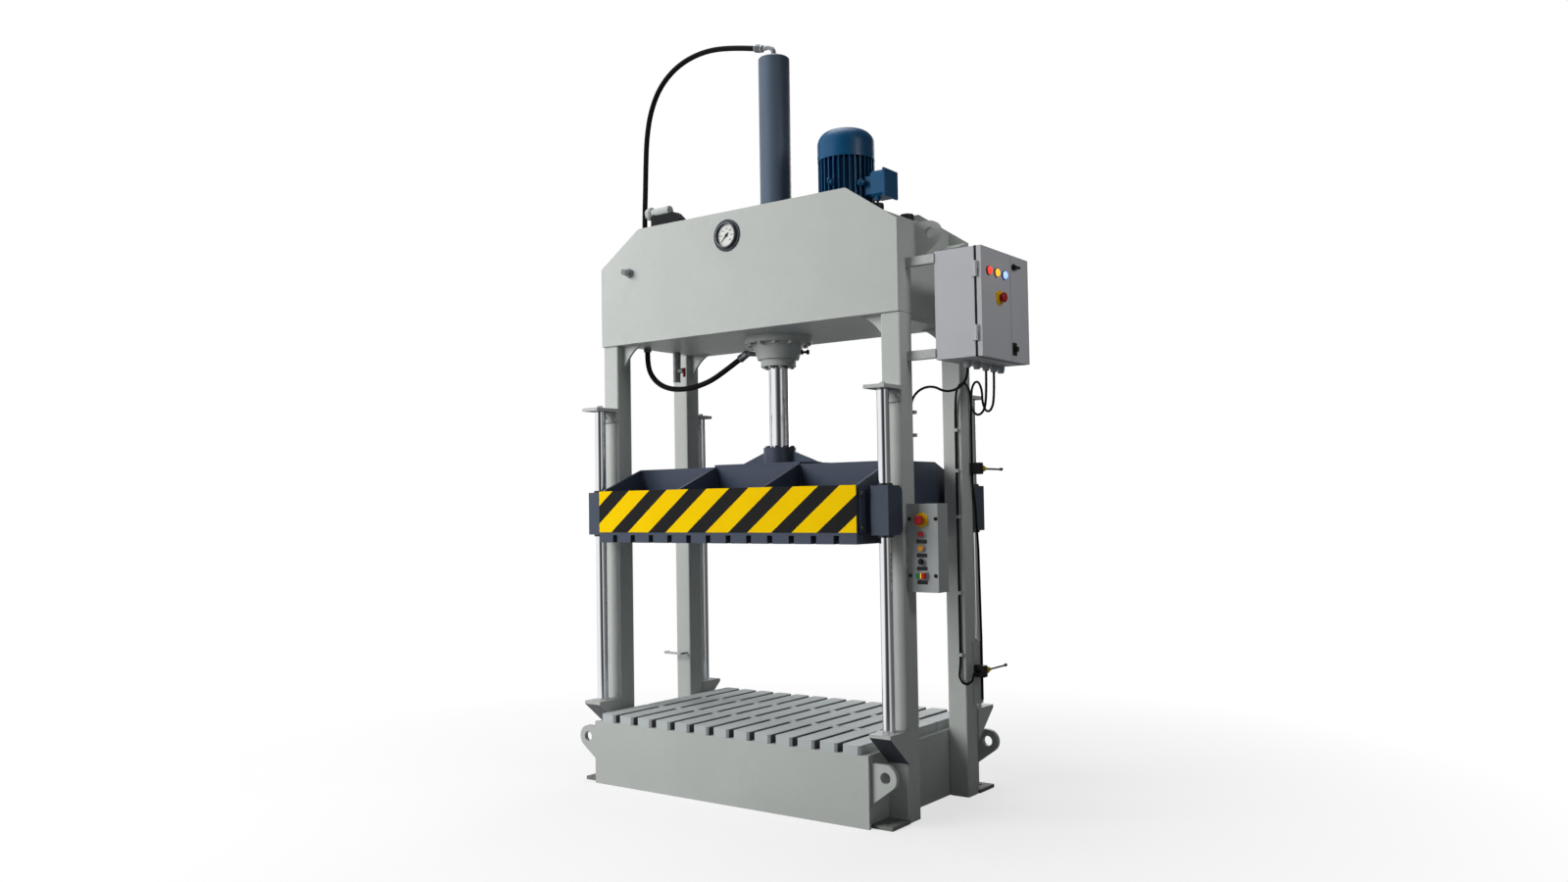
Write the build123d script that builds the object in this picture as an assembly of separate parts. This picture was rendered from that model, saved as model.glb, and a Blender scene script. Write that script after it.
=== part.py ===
from build123d import *
import math
import os

# Four-post hydraulic baling press. Millimetres, X along the front, Y to the back, Z up.
# The origin is on the floor, in the middle of the base.

# Frame of posts
frame_w = 1624.0
frame_d = 592.0
post_w = 90.0
post_d = 94.0
post_wall = 6.0
post_corner_r = 8.0

# Base and bed
base_d = 916.0
base_top_z = 278.0
base_wall = 12.0
base_lip = 9.0
bed_inset = 30.0
bed_bar_h = 36.0
groove_w = 26.0
groove_count = 12
bed_rows = 3
bed_seam = 4.0
bar_corner = 9.0
bridge_t = 6.0
bridge_l = 30.0
foot_l = 134.0
foot_t = 15.0
foot_over = 5.0
anchor_r = 9.0
anchor_near = 39.0
anchor_pitch = 50.0

# Lifting lugs
lug_t = 20.0
lug_r = 50.0
lug_hole_r = 22.0
lug_reach = 72.0
lug_drop = 115.0
base_lug_down = 78.0
base_lug_inset = 28.0
head_lug_h = 364.0

# Crosshead
head_z = 2007.0
head_h = 530.0
head_corner_h = 161.0
head_corner_w = 240.0
head_plate_t = 10.0
head_floor_t = 20.0
head_wall_t = 10.0
stub_drop = 35.0
deck_h = 424.0
deck_t = 10.0
gusset_w = 115.0
gusset_h = 120.0
gusset_t = 12.0
gusset_r = 70.0

# Oil tank and pump
tank_start_share = 0.2632
tank_wall = 6.0
cap_r = 28.0
cap_h = 26.0
cap_neck_r = 18.0
cap_neck_h = 10.0
cap_inset = 36.0
cap_front_in = 66.0
cap_mid_y = 13.0
bell_r = 95.0
bell_wall = 8.0
bell_h = 120.0
pump_r = 58.0
pump_h = 150.0

# Cylinder and ram
barrel_r = 71.5
barrel_wall = 13.5
top_room = 90.0
barrel_cap_t = 30.0
barrel_edge_r = 5.0
seat_h = 45.0
flange_r = 154.0
flange_h = 30.0
housing_r = 118.0
housing_low_r = 94.0
housing_h = 72.0
gland_r = 80.0
gland_h = 32.0
ram_r = 45.0
stroke_down = 700.0
stroke_up = 320.0
piston_h = 90.0
piston_room = 100.0
seal_w = 12.0
seal_depth = 4.0
seal_inset = 15.0
port_r = 9.0
fit_gap = 0.1
flange_bolt_count = 12
gland_bolt_count = 8

# Hexagon bolts
bolt_af = 24.0
bolt_head_h = 12.0
small_bolt_af = 17.0
small_bolt_head_h = 9.0

# Guide rods and their brackets
rod_r = 25.0
rod_stand = 70.0
rod_inset = 42.0
bracket_w = 96.0
bracket_reach = 139.0
top_rear_reach = 100.0
bracket_top_z = 360.0
bracket_t = 14.0
wedge_h = 118.0
rod_top_drop = 312.0
top_plate_t = 15.0
top_flange_h = 48.0
top_flange_t = 10.0
top_bolt_x = 30.0

# Platen
platen_z = 1089.0
platen_gap = 28.0
platen_inset = 5.0
platen_bar_h = 34.0
sole_t = 12.0
edge_h = 186.0
edge_t = 12.0
rib_t = 12.0
bay_count = 3
rib_peak_h = 101.0
beam_half_d = 180.0
beam_t = 12.0
doubler_t = 10.0
collar_r = 74.0
collar_h = 74.0
fin_reach = 150.0
fin_h = 58.0
fin_t = 12.0
panel_t = 2.0

# Platen guide boxes
guide_wall_front = 40.0
guide_gap = 4.0
guide_w = 80.0
guide_h = 194.0
guide_round = 28.0
guide_neck_w = 46.0
guide_neck_h = 150.0
guide_flange_w = 34.0
guide_flange_h = 174.0
guide_flange_t = 11.0
bush_wall = 8.0
bush_proud = 6.0

# Electric motor
motor_in = 194.0
motor_flange_r = 150.0
motor_flange_t = 16.0
motor_core_r = 104.0
fin_tip_r = 124.0
motor_fin_t = 5.0
motor_fin_count = 32
fin_turn_share = 0.5
motor_neck_h = 31.0
motor_body_h = 280.0
motor_shield_r = 112.0
cover_r = 125.0
cover_t = 3.0
cover_h = 134.0
cover_dome_r = 62.0
grille_slot_w = 7.0
grille_slot_l = 40.0
grille_slot_in = 16.0
grille_slots = 10
rotor_bore_r = 72.0
rotor_r = 70.0
rotor_end = 26.0
rotor_room = 20.0
shaft_r = 19.0
shaft_below = 60.0
fan_r = 104.0
fan_hub_r = 32.0
fan_hub_h = 40.0
fan_lift = 14.0
fan_blade_t = 6.0
fan_blade_h = 30.0
fan_blades = 6
pad_in = 14.0
terminal_w = 104.0
terminal_d = 92.0
terminal_h = 112.0
terminal_lift = 123.0
terminal_lid_t = 12.0
terminal_lid_lip = 4.0
terminal_neck_w = 76.0
terminal_neck_h = 80.0
terminal_neck_l = 30.0
cable_gland_r = 12.0
cable_gland_h = 16.0
cable_in = 52.0
cable_aside = 30.0
entry_out = 166.0
entry_aside = 45.0

# Valve block
valve_l = 272.0
valve_d = 100.0
valve_mid_y = -115.0
valve_h = 96.0
spool_d = 54.0
spool_in = 82.0
spool_l = 180.0
spool_h = 110.0
spool_slope = 36.0
coil_r = 22.0
coil_l = 138.0
coil_out = 38.0
coil_sink = 3.0
coil_cap_r = 28.0
coil_cap_l = 30.0
riser_in = 22.0
riser_back = 4.0
riser_r = 20.0
riser_h = 18.0

# Hoses
hose_r = 12.5
ferrule_r = 17.0
ferrule_l = 42.0
pipe_r = 11.0
elbow_nut_r = 19.0
elbow_nut_h = 20.0
elbow_bend = 38.0
elbow_rise = 62.0
elbow_run = 62.0
elbow_up_deg = 13.115
elbow_swing_deg = 8.035
drop_l = 22.0
hose_in = 58.0
hose_y = -150.0
port_drop = 72.0
port_x = -118.0
port_y = -84.0
port_slope = (-50.0, -6.0, -30.0)

# Drain valve
drain_in = 32.0
drain_y = 92.0
drain_r = 19.0
drain_l = 146.0
drain_hub_drop = 91.0
drain_hub_r = 13.0
drain_hub_l = 24.0
lever_l = 32.0
lever_w = 14.0
lever_t = 7.0

# Pressure gauge and test port on the front plate
gauge_x = -45.0
gauge_h = 423.0
gauge_flange_r = 70.0
gauge_flange_t = 6.0
gauge_rim_r = 57.0
gauge_rim_h = 16.0
gauge_dial_r = 50.0
gauge_dial_depth = 12.0
pointer_l = 40.0
pointer_tail = 14.0
pointer_w = 5.0
pointer_t = 1.5
pointer_hub_r = 6.0
pointer_pin_r = 2.5
pointer_lift = 3.0
pointer_rest_deg = 45.0
test_in = 95.0
test_h = 330.0
test_nut_r = 19.0
test_nut_h = 12.0
test_body_r = 14.0
test_body_h = 34.0

# Electrical cabinet
cab_stand = 128.0
cab_depth = 180.0
cab_in = 57.0
cab_w = 421.0
cab_drop = 201.0
cab_h = 427.0
cab_wall = 3.0
cab_rim = 18.0
door_gap = 2.0
door_t = 20.0
door_split_share = 0.61
door_seam = 3.0
hinge_r = 6.0
hinge_h = 30.0
hinge_out = 7.0
hinge_inset = 60.0
rail_h = 36.0
rail_t = 30.0
rail_along = 9.0
rail_in = 8.0
plate_stand = 12.0
plate_t = 3.0
plate_inset = 26.0
device_row_h = 70.0
device_depth = 62.0
low_device_share = 0.75
device_w = 44.0
device_gap = 10.0
device_rows = 3
device_columns = 6
device_pitch = 112.0
device_rise = 36.0
lamp_r = 15.0
lamp_bezel_r = 18.0
lamp_bezel_h = 5.0
lamp_h = 9.0
lamp_stem_r = 11.0
lamp_stem_l = 30.0
lamp_in = 60.0
lamp_pitch = 68.0
lamp_count = 3
lamp_down = 91.0
cab_stop_in = 149.0
cab_stop_down = 187.0
latch_in = 23.0
latch_top_down = 47.0
latch_low_up = 50.0
latch_r = 13.0
latch_h = 8.0
latch_bar_l = 34.0
latch_bar_w = 9.0
latch_bar_t = 10.0
latch_stem_r = 8.0
latch_stem_l = 26.0
latch_cam_l = 24.0
latch_cam_w = 14.0
latch_cam_t = 4.0
gland_in = 90.0
gland_shares = (0.2114, 0.4014, 0.5914, 0.7577, 0.9121)
gland_tip_share = 0.75
gland_out_r = 16.0
gland_out_h = 30.0

# Emergency stop heads
stop_collar_r = 29.0
stop_collar_h = 9.0
stop_head_r = 19.5
stop_head_h = 14.0
stop_neck_r = 13.0
stop_neck_l = 16.0
stop_stem_r = 9.0
stop_stem_l = 22.0
stop_edge_r = 4.0

# Operator box
box_w = 140.0
box_d = 79.0
box_back = 22.0
box_z = 898.0
box_h = 346.0
box_wall = 3.0
control_in = 67.0
box_stop_up = 282.0
red_up = 227.0
amber_up = 172.0
selector_up = 120.0
double_up = 65.0
bezel_r = 15.0
bezel_h = 7.0
button_r = 11.5
button_h = 13.0
button_travel = 5.0
button_edge = 1.25
button_stem_r = 7.0
button_stem_l = 20.0
slide_gap = 0.3
knob_r = 12.0
knob_h = 8.0
knob_bar_w = 9.0
knob_bar_h = 12.0
double_w = 46.0
double_h = 30.0
double_base_t = 8.0
push_w = 17.0
push_h = 22.0
push_t = 9.0
push_stem = 10.0
window_w = 7.0

# Limit switches on the rear right post
switch_in = 19.0
switch_z = (1391.0, 525.0)
switch_w = 48.0
switch_d = 30.0
switch_h = 50.0
wand_out = 34.0
boot_l = 62.0
boot_r = 14.0
boot_tip_r = 8.0
wand_r = 5.5
wand_l = 160.0
wand_gap = 0.4
strip_t = 5.0
strip_in = 34.0
strip_out = 49.0
strip_low_z = (380.0, 648.0)
strip_high_h = 70.0

# Cable clips
clip_h = 14.0
clip_edge = 6.0
clip_z = (1555.0, 1381.0, 1185.0, 862.0, 600.0)
back_clip_z = (1610.0, 1518.0)

# Strap hook on the rear left post
hook_z = 515.0
hook_r = 6.0
hook_reach = 42.0
hook_out = 46.0
hook_in = 20.0

# Cords. Points are chosen by hand.
motor_cable_r = 5.0
motor_cable_run = 26.0
loop_cable_r = 5.0
bend_share = 0.45
top_hose_route = [
    (-102.5, -5.72, 3363.53), (-232, -24, 3394), (-368, -54, 3400), (-498, -84, 3360), (-602, -102, 3275),
    (-660, -111, 3160), (-684, -116, 3030), (-690, -118, 2895), (-694, -119, 2765), (-700, -119, 2645),
    (-700, -119, 2587)]
lower_hose_route = [
    (-664, -150, 1985), (-664, -150, 1922), (-640, -147.1, 1866), (-592, -141.3, 1822), (-520, -132.5, 1797),
    (-425, -121, 1796), (-335, -110, 1816), (-261.98, -101.28, 1848.61), (-153.83, -88.30, 1913.50)]
cabinet_cable_a_route = [
    (1030, 10, 1776), (1030, 10, 1648.4), (994.8, 37, 1604.4), (945.2, 75, 1604.4), (910, 102, 1648.4),
    (910, 102, 1704), (874.8, 129, 1748), (825.2, 167, 1748), (790, 194, 1704), (790, 194, 1571)]
cabinet_cable_b_route = [
    (1030, 80, 1776), (1030, 80, 1663.9), (999.6, 108.8, 1622), (956.5, 149.7, 1622), (926, 178.5, 1663.9),
    (926, 178.5, 1716), (895.6, 207.3, 1758), (852.4, 248.2, 1758), (822, 277, 1716), (822, 277, 1578)]
cabinet_cable_c_route = [
    (1030, -150, 1776), (1030, -150, 1746), (1009, -154, 1709), (973, -160, 1688), (931, -168, 1688),
    (895, -175, 1709), (853, -182, 1709), (817, -189, 1688), (796, -193, 1651), (796, -193, 1620)]
lead_in = 22.0
lead_stand = 8.0
lead_top_z = 1571.0
lead_turn_up = 50.0
lead_loop_steps = [
    (-26.0, -12.0, -20.0), (0.0, -16.0, -55.0), (26.0, 3.0, -35.0), (26.0, 23.0, 0.0), (26.0, 60.0, 0.0)]
lead_high_z = 1578.0
lead_low_steps = [(0.0, 0.0), (0.0, -46.0), (23.0, -151.0), (41.0, -326.0), (51.0, -702.0), (51.0, -971.0)]
lead_back_in = 16.0
lead_back_stand = 9.0
lead_back_top_z = 1620.0
lead_back_low_z = 1268.0
lead_bend_r = 22.0

# Worked-out places
half_w = frame_w / 2
half_d = frame_d / 2
inner_x = half_w - post_w
post_mid_x = half_w - post_w / 2
post_mid_y = half_d - post_d / 2
post_in_y = half_d - post_d
bed_top_z = base_top_z + bed_bar_h
bed_w = 2 * (inner_x - bed_inset)
rod_x = half_w - rod_inset
rod_y = half_d + rod_stand
rod_top_z = head_z - rod_top_drop
deck_z = head_z + deck_h
tank_x = inner_x * tank_start_share
motor_x = tank_x + motor_in
motor_body_z = deck_z + motor_neck_h
motor_body_top_z = motor_body_z + motor_body_h
cover_top_z = motor_body_top_z + cover_h
terminal_z = deck_z + terminal_lift
valve_x = (-inner_x, valve_l - inner_x)
spool_x = (spool_in - inner_x, spool_in + spool_l - inner_x)
valve_y = (valve_mid_y - valve_d / 2, valve_mid_y + valve_d / 2)
spool_y = (valve_mid_y - spool_d / 2, valve_mid_y + spool_d / 2)
riser_x = riser_in - inner_x
riser_y = valve_mid_y - riser_back
drain_x = drain_in - inner_x
drain_hub_z = head_z - drain_hub_drop
gauge_z = head_z + gauge_h
test_x = test_in - inner_x
test_z = head_z + test_h
platen_w = 2 * (inner_x - platen_gap)
platen_d = base_d - 2 * platen_inset
head_top_z = head_z + head_h
floor_top_z = head_z + head_floor_t
seat_z = head_z - seat_h
bore_r = barrel_r - barrel_wall
housing_z = head_z - flange_h - housing_h
gland_z = housing_z - gland_h
sole_z = platen_z + platen_bar_h
tray_z = sole_z + sole_t
edge_top_z = tray_z + edge_h
peak_z = edge_top_z + rib_peak_h
boss_z = peak_z + doubler_t
platen_x = platen_w / 2
platen_y = platen_d / 2
rib_pitch = (platen_w - rib_t) / bay_count
tank_top_z = deck_z
piston_z = seat_z + stroke_down + piston_room
barrel_top_z = piston_z + piston_h + stroke_up + top_room + barrel_cap_t
cab_x = half_w + cab_stand
cab_y = cab_in - half_d
cab_z = head_z - cab_drop
door_x = cab_x + cab_depth + door_gap
door_face_x = door_x + door_t
cab_y1 = cab_y + cab_w
cab_top_z = cab_z + cab_h
split_y = cab_y + cab_w * door_split_share
rail_y = cab_y + rail_along
lamp_y = [cab_y + lamp_in + i * lamp_pitch for i in range(lamp_count)]
lamp_z = cab_top_z - lamp_down
cab_stop_y = cab_y + cab_stop_in
cab_stop_z = cab_top_z - cab_stop_down
latch_y = split_y + latch_in
latch_top_z = cab_top_z - latch_top_down
latch_low_z = cab_z + latch_low_up
gland_x = cab_x + gland_in
box_front_y = box_back - half_d
control_x = half_w + control_in
box_stop_z = box_z + box_stop_up
red_z = box_z + red_up
amber_z = box_z + amber_up
selector_z = box_z + selector_up
double_z = box_z + double_up
switch_y = half_d - switch_in
wand_x = half_w + wand_out
lead_x = half_w - lead_in
lead_y = post_in_y - lead_stand
lead_side_x = half_w + strip_t + loop_cable_r
lead_back_x = half_w - lead_back_in
lead_back_y = lead_back_stand - post_in_y
overrun = 5.0
both = (-1, 1)


def block(x, y, z):
    """A box between pairs of limits."""
    size = Box(x[1] - x[0], y[1] - y[0], z[1] - z[0])
    return Pos((x[0] + x[1]) / 2, (y[0] + y[1]) / 2, (z[0] + z[1]) / 2) * size


def mirrored(low, high, side):
    """A pair of limits on one side of zero, in rising order."""
    return tuple(sorted((side * low, side * high)))


def rod(radius, start, end):
    """A round bar between two points."""
    line = Vector(*end) - Vector(*start)
    return extrude(Plane(start, z_dir=line) * Circle(radius), amount=line.length, dir=line.normalized())


def tube(outer, inner, start, end):
    """A round tube between two points."""
    line = Vector(*end) - Vector(*start)
    ring = Plane(start, z_dir=line) * (Circle(outer) - Circle(inner))
    return extrude(ring, amount=line.length, dir=line.normalized())


def slab_xz(face, y0, y1):
    """A flat face drawn in X and Z, made into a plate from y0 to y1."""
    return extrude(Pos(0, y0, 0) * (Plane.XZ * face), amount=y1 - y0, dir=(0, 1, 0))


def slab_yz(face, x0, x1):
    """A flat face drawn in Y and Z, made into a plate from x0 to x1."""
    return extrude(Pos(x0, 0, 0) * (Plane.YZ * face), amount=x1 - x0, dir=(1, 0, 0))


def slab_xy(face, z0, z1):
    """A flat face drawn in X and Y, made into a plate from z0 to z1."""
    return extrude(Pos(0, 0, z0) * face, amount=z1 - z0, dir=(0, 0, 1))


def outline(*points):
    """A face inside straight edges."""
    return make_face(Polyline(*points, close=True))


def turned(points, x=0.0, y=0.0):
    """A body turned about a vertical axis, from its radius and height outline."""
    face = Plane.XZ * outline(*points)
    return Pos(x, y, 0) * revolve(face, Axis.Z)


def hexagon(flats, start, direction, height):
    """A hexagon bolt head."""
    face = Plane(start, z_dir=direction) * RegularPolygon(flats / 2, 6, major_radius=False)
    return extrude(face, amount=height, dir=direction)


def around(count, radius, turn_share=0.0):
    """Points evenly spread on a circle, in X and Y."""
    step = 2 * math.pi / count
    angles = [step * (i + turn_share) for i in range(count)]
    return [(radius * math.cos(a), radius * math.sin(a)) for a in angles]


def corner_radii(points):
    """The largest tangent arcs that the runs of a cord's route leave room for."""
    radii = []
    for a, b, c in zip(points, points[1:], points[2:]):
        into = Vector(*b) - Vector(*a)
        out = Vector(*c) - Vector(*b)
        turn = math.radians(into.get_angle(out))
        radii.append(bend_share * min(into.length, out.length) / math.tan(turn / 2))
    return radii


def swept(path, points, radius):
    """A round bar swept along a path that starts at the first point."""
    start = Plane(points[0], z_dir=Vector(*points[1]) - Vector(*points[0]))
    return sweep(start * Circle(radius), path=path)


def cord(name, points, radius):
    """A plain tube along a cord's route."""
    radii = corner_radii(points)
    path = FilletPolyline(*points, radius=radii)
    print(name, "length", round(path.length), "radii", [round(r) for r in radii])
    return swept(path, points, radius)


def lead(points, radius):
    """A clipped cable, with equal bends."""
    if len(points) == 2:
        return rod(radius, points[0], points[1])
    return swept(FilletPolyline(*points, radius=lead_bend_r), points, radius)


def base_box():
    """Welded base: a closed box whose front and rear plates reach past its ends."""
    y = base_d / 2
    lip_x = inner_x + base_lip
    body = block((-inner_x, inner_x), (-y, y), (0, base_top_z))
    for side in both:
        body += block((-lip_x, lip_x), mirrored(y - base_wall, y, side), (0, base_top_z))
    x_in = inner_x - base_wall
    y_in = y - base_wall
    return body - block((-x_in, x_in), (-y_in, y_in), (base_wall, base_top_z - base_wall))


def groove_layout(width):
    """Bar width and left edges of the bars between strap grooves."""
    bars = groove_count + 1
    bar_w = (width - groove_count * groove_w) / bars
    return bar_w, [-width / 2 + i * (bar_w + groove_w) for i in range(bars)]


def bed_bars():
    """Three rows of bars with strap grooves between them."""
    bar_w, lefts = groove_layout(bed_w)
    row_d = (base_d - (bed_rows - 1) * bed_seam) / bed_rows
    bars = []
    for row in range(bed_rows):
        y0 = -base_d / 2 + row * (row_d + bed_seam)
        for left in lefts:
            bar = block((left, left + bar_w), (y0, y0 + row_d), (base_top_z, bed_top_z))
            bars.append(chamfer(bar.edges().filter_by(Axis.Z), bar_corner))
    return bars


def strap_bridges():
    """Tabs that bridge the grooves at the row seams, with the channel open beneath."""
    bar_w, lefts = groove_layout(bed_w)
    row_d = (base_d - (bed_rows - 1) * bed_seam) / bed_rows
    tabs = []
    for row in range(bed_rows - 1):
        mid = -base_d / 2 + (row + 1) * (row_d + bed_seam) - bed_seam / 2
        for left in lefts[:-1]:
            x = left + bar_w
            y = (mid - bridge_l / 2, mid + bridge_l / 2)
            tabs.append(block((x, x + groove_w), y, (bed_top_z - bridge_t, bed_top_z)))
    return tabs


def foot_plates():
    """Floor plates before and behind the posts, each with two anchor holes."""
    plates = []
    for sx in both:
        for sy in both:
            x = mirrored(inner_x, half_w + foot_over, sx)
            plate = block(x, mirrored(half_d, half_d + foot_l, sy), (0, foot_t))
            for near in (anchor_near, anchor_near + anchor_pitch):
                y = sy * (half_d + near)
                plate -= rod(anchor_r, (sx * rod_x, y, -overrun), (sx * rod_x, y, foot_t + overrun))
            plates.append(plate)
    return plates


def lug(side, y, z):
    """A lifting eye that stands out of an end wall."""
    edge = Line((inner_x, z - lug_drop), (inner_x, z + lug_r))
    eye = Pos(inner_x + lug_reach, z) * Circle(lug_r)
    face = make_hull(edge.edges() + eye.edges()) - Pos(inner_x + lug_reach, z) * Circle(lug_hole_r)
    plate = slab_xz(face, y - lug_t / 2, y + lug_t / 2)
    return plate if side > 0 else mirror(plate, Plane.YZ)


def lifting_lugs():
    """Four eyes on the base and two on the crosshead."""
    base_y = base_d / 2 - base_lug_inset
    lugs = [lug(sx, sy * base_y, base_top_z - base_lug_down) for sx in both for sy in both]
    return lugs + [lug(sx, 0, head_z + head_lug_h) for sx in both]


def posts():
    """Four hollow posts from the floor to the crosshead."""
    bore = RectangleRounded(post_w - 2 * post_wall, post_d - 2 * post_wall, post_corner_r - post_wall / 2)
    section = RectangleRounded(post_w, post_d, post_corner_r) - bore
    return [Pos(sx * post_mid_x, sy * post_mid_y, 0) * extrude(section, amount=head_z)
            for sx in both for sy in both]


def head_plates():
    """Front and rear plates of the crosshead, with cut upper corners."""
    top_x = half_w - head_corner_w
    corner_z = head_top_z - head_corner_h
    right = [(half_w, head_z), (half_w, corner_z), (top_x, head_top_z)]
    left = [(-x, z) for x, z in reversed(right)]
    face = outline(*right, *left)
    return [slab_xz(face, *mirrored(half_d, half_d + head_plate_t, side)) for side in both]


def head_walls():
    """End stubs over the posts, end walls and the deck under the valves."""
    corner_z = head_top_z - head_corner_h
    low_z = corner_z - stub_drop
    pieces = []
    for sx in both:
        for sy in both:
            face = outline((sy * half_d, head_z), (sy * half_d, corner_z),
                           (sy * post_in_y, low_z), (sy * post_in_y, head_z))
            pieces.append(slab_yz(face, *mirrored(inner_x, half_w, sx)))
        wall_x = mirrored(inner_x - head_wall_t, inner_x, sx)
        pieces.append(block(wall_x, (-half_d, half_d), (floor_top_z, deck_z)))
    deck_x = (head_wall_t - inner_x, -tank_x)
    pieces.append(block(deck_x, (-half_d, half_d), (deck_z - deck_t, deck_z)))
    deck_leg = (-tank_x - head_wall_t, -tank_x)
    pieces.append(block(deck_leg, (-half_d, half_d), (floor_top_z, deck_z - deck_t)))
    return pieces


def head_floor():
    """Bottom plate of the crosshead, bored for the cylinder."""
    plate = block((-inner_x, inner_x), (-half_d, half_d), (head_z, floor_top_z))
    plate -= rod(barrel_r + fit_gap, (0, 0, head_z - overrun), (0, 0, floor_top_z + overrun))
    return plate


def corner_gussets():
    """Plates with a hollow edge between each post and the crosshead."""
    plates = []
    for sx in both:
        for sy in both:
            corner = (sx * inner_x, head_z)
            tip = (sx * (inner_x - gusset_w), head_z)
            foot = (sx * inner_x, head_z - gusset_h)
            edge = RadiusArc(tip, foot, sx * (gusset_w + gusset_r))
            face = make_face(Polyline(foot, corner, tip).edges() + edge.edges())
            y = mirrored(post_in_y + post_d / 2 - gusset_t / 2, post_in_y + post_d / 2 + gusset_t / 2, sy)
            plates.append(slab_xz(face, *y))
    return plates


def oil_tank():
    """Closed tank in the right half of the crosshead, with a hole for the pump."""
    x = (tank_x, inner_x - head_wall_t)
    inside = [(x[0] + tank_wall, x[1] - tank_wall), (tank_wall - half_d, half_d - tank_wall),
              (floor_top_z + tank_wall, tank_top_z - tank_wall)]
    tank = block(x, (-half_d, half_d), (floor_top_z, tank_top_z)) - block(*inside)
    return tank - rod(bell_r + fit_gap, (motor_x, 0, tank_top_z - tank_wall - overrun),
                      (motor_x, 0, tank_top_z + overrun))


def tank_caps():
    """Filler and breather caps on the tank."""
    x = inner_x - head_wall_t - cap_inset
    z = (tank_top_z, tank_top_z + cap_neck_h, tank_top_z + cap_neck_h + cap_h)
    profile = [(0, z[0]), (cap_neck_r, z[0]), (cap_neck_r, z[1]), (cap_r, z[1]), (cap_r, z[2]), (0, z[2])]
    return [turned(profile, x, y) for y in (cap_front_in - half_d, cap_mid_y)]


def hydraulic_pump():
    """Pump on a bell housing that hangs under the motor flange, inside the tank."""
    bell_z = tank_top_z - bell_h
    bore = shaft_r + overrun
    profile = [(bore, bell_z), (bore, bell_z + bell_wall), (bell_r - bell_wall, bell_z + bell_wall),
               (bell_r - bell_wall, tank_top_z), (bell_r, tank_top_z), (bell_r, bell_z)]
    low_z = bell_z - pump_h
    body = [(0, low_z), (pump_r, low_z), (pump_r, bell_z), (bore, bell_z),
            (bore, bell_z - bell_wall), (0, bell_z - bell_wall)]
    return turned(profile, motor_x) + turned(body, motor_x)


def cylinder_barrel():
    """Cylinder tube with its welded end cap and the port in it."""
    z = barrel_top_z
    profile = [(bore_r, seat_z), (barrel_r, seat_z), (barrel_r, z - barrel_edge_r),
               (barrel_r - barrel_edge_r, z), (port_r, z), (port_r, z - barrel_cap_t),
               (bore_r, z - barrel_cap_t)]
    return turned(profile)


def cylinder_head():
    """Flange under the crosshead, housing and gland, bored for the ram."""
    flange_z = head_z - flange_h
    bore = ram_r + fit_gap
    seat_r = barrel_r + fit_gap
    profile = [(bore, gland_z), (gland_r, gland_z), (gland_r, housing_z), (housing_low_r, housing_z),
               (housing_r, flange_z), (flange_r, flange_z), (flange_r, head_z), (seat_r, head_z),
               (seat_r, seat_z), (bore, seat_z)]
    return turned(profile)


def hex_bolts():
    """Hexagon heads under the cylinder flange and gland, and on the upper rod brackets."""
    down = (0, 0, -1)
    heads = [hexagon(bolt_af, (x, y, head_z - flange_h), down, bolt_head_h)
             for x, y in around(flange_bolt_count, (flange_r + housing_r) / 2)]
    heads += [hexagon(small_bolt_af, (x, y, gland_z), down, small_bolt_head_h)
              for x, y in around(gland_bolt_count, (gland_r + ram_r) / 2)]
    z = rod_top_z - top_flange_h / 2
    for sx in both:
        for sy in both:
            for step in both:
                start = (sx * rod_x + step * top_bolt_x, sy * (half_d + top_flange_t), z)
                heads.append(hexagon(small_bolt_af, start, (0, sy, 0), small_bolt_head_h))
    return heads


def ram():
    """Chromed ram from the collar on the platen up to the piston."""
    return rod(ram_r, (0, 0, boss_z), (0, 0, piston_z))


def piston():
    """Piston with two seal grooves."""
    outer = bore_r - fit_gap
    inner = outer - seal_depth
    z = piston_z
    low = (z + seal_inset, z + seal_inset + seal_w)
    high = (z + piston_h - seal_inset - seal_w, z + piston_h - seal_inset)
    profile = [(0, z), (outer, z), (outer, low[0]), (inner, low[0]), (inner, low[1]), (outer, low[1]),
               (outer, high[0]), (inner, high[0]), (inner, high[1]), (outer, high[1]),
               (outer, z + piston_h), (0, z + piston_h)]
    return turned(profile)


def ram_collar():
    """Collar that clamps the ram's foot to the platen."""
    return tube(collar_r, ram_r + fit_gap, (0, 0, boss_z), (0, 0, boss_z + collar_h))


def platen_sole():
    """Sole plate with bars beneath it that leave the strap grooves."""
    plate = block((-platen_x, platen_x), (-platen_y, platen_y), (sole_z, tray_z))
    bar_w, lefts = groove_layout(platen_w)
    y = (-platen_y, platen_y)
    return [plate] + [block((left, left + bar_w), y, (platen_z, sole_z)) for left in lefts]


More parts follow.
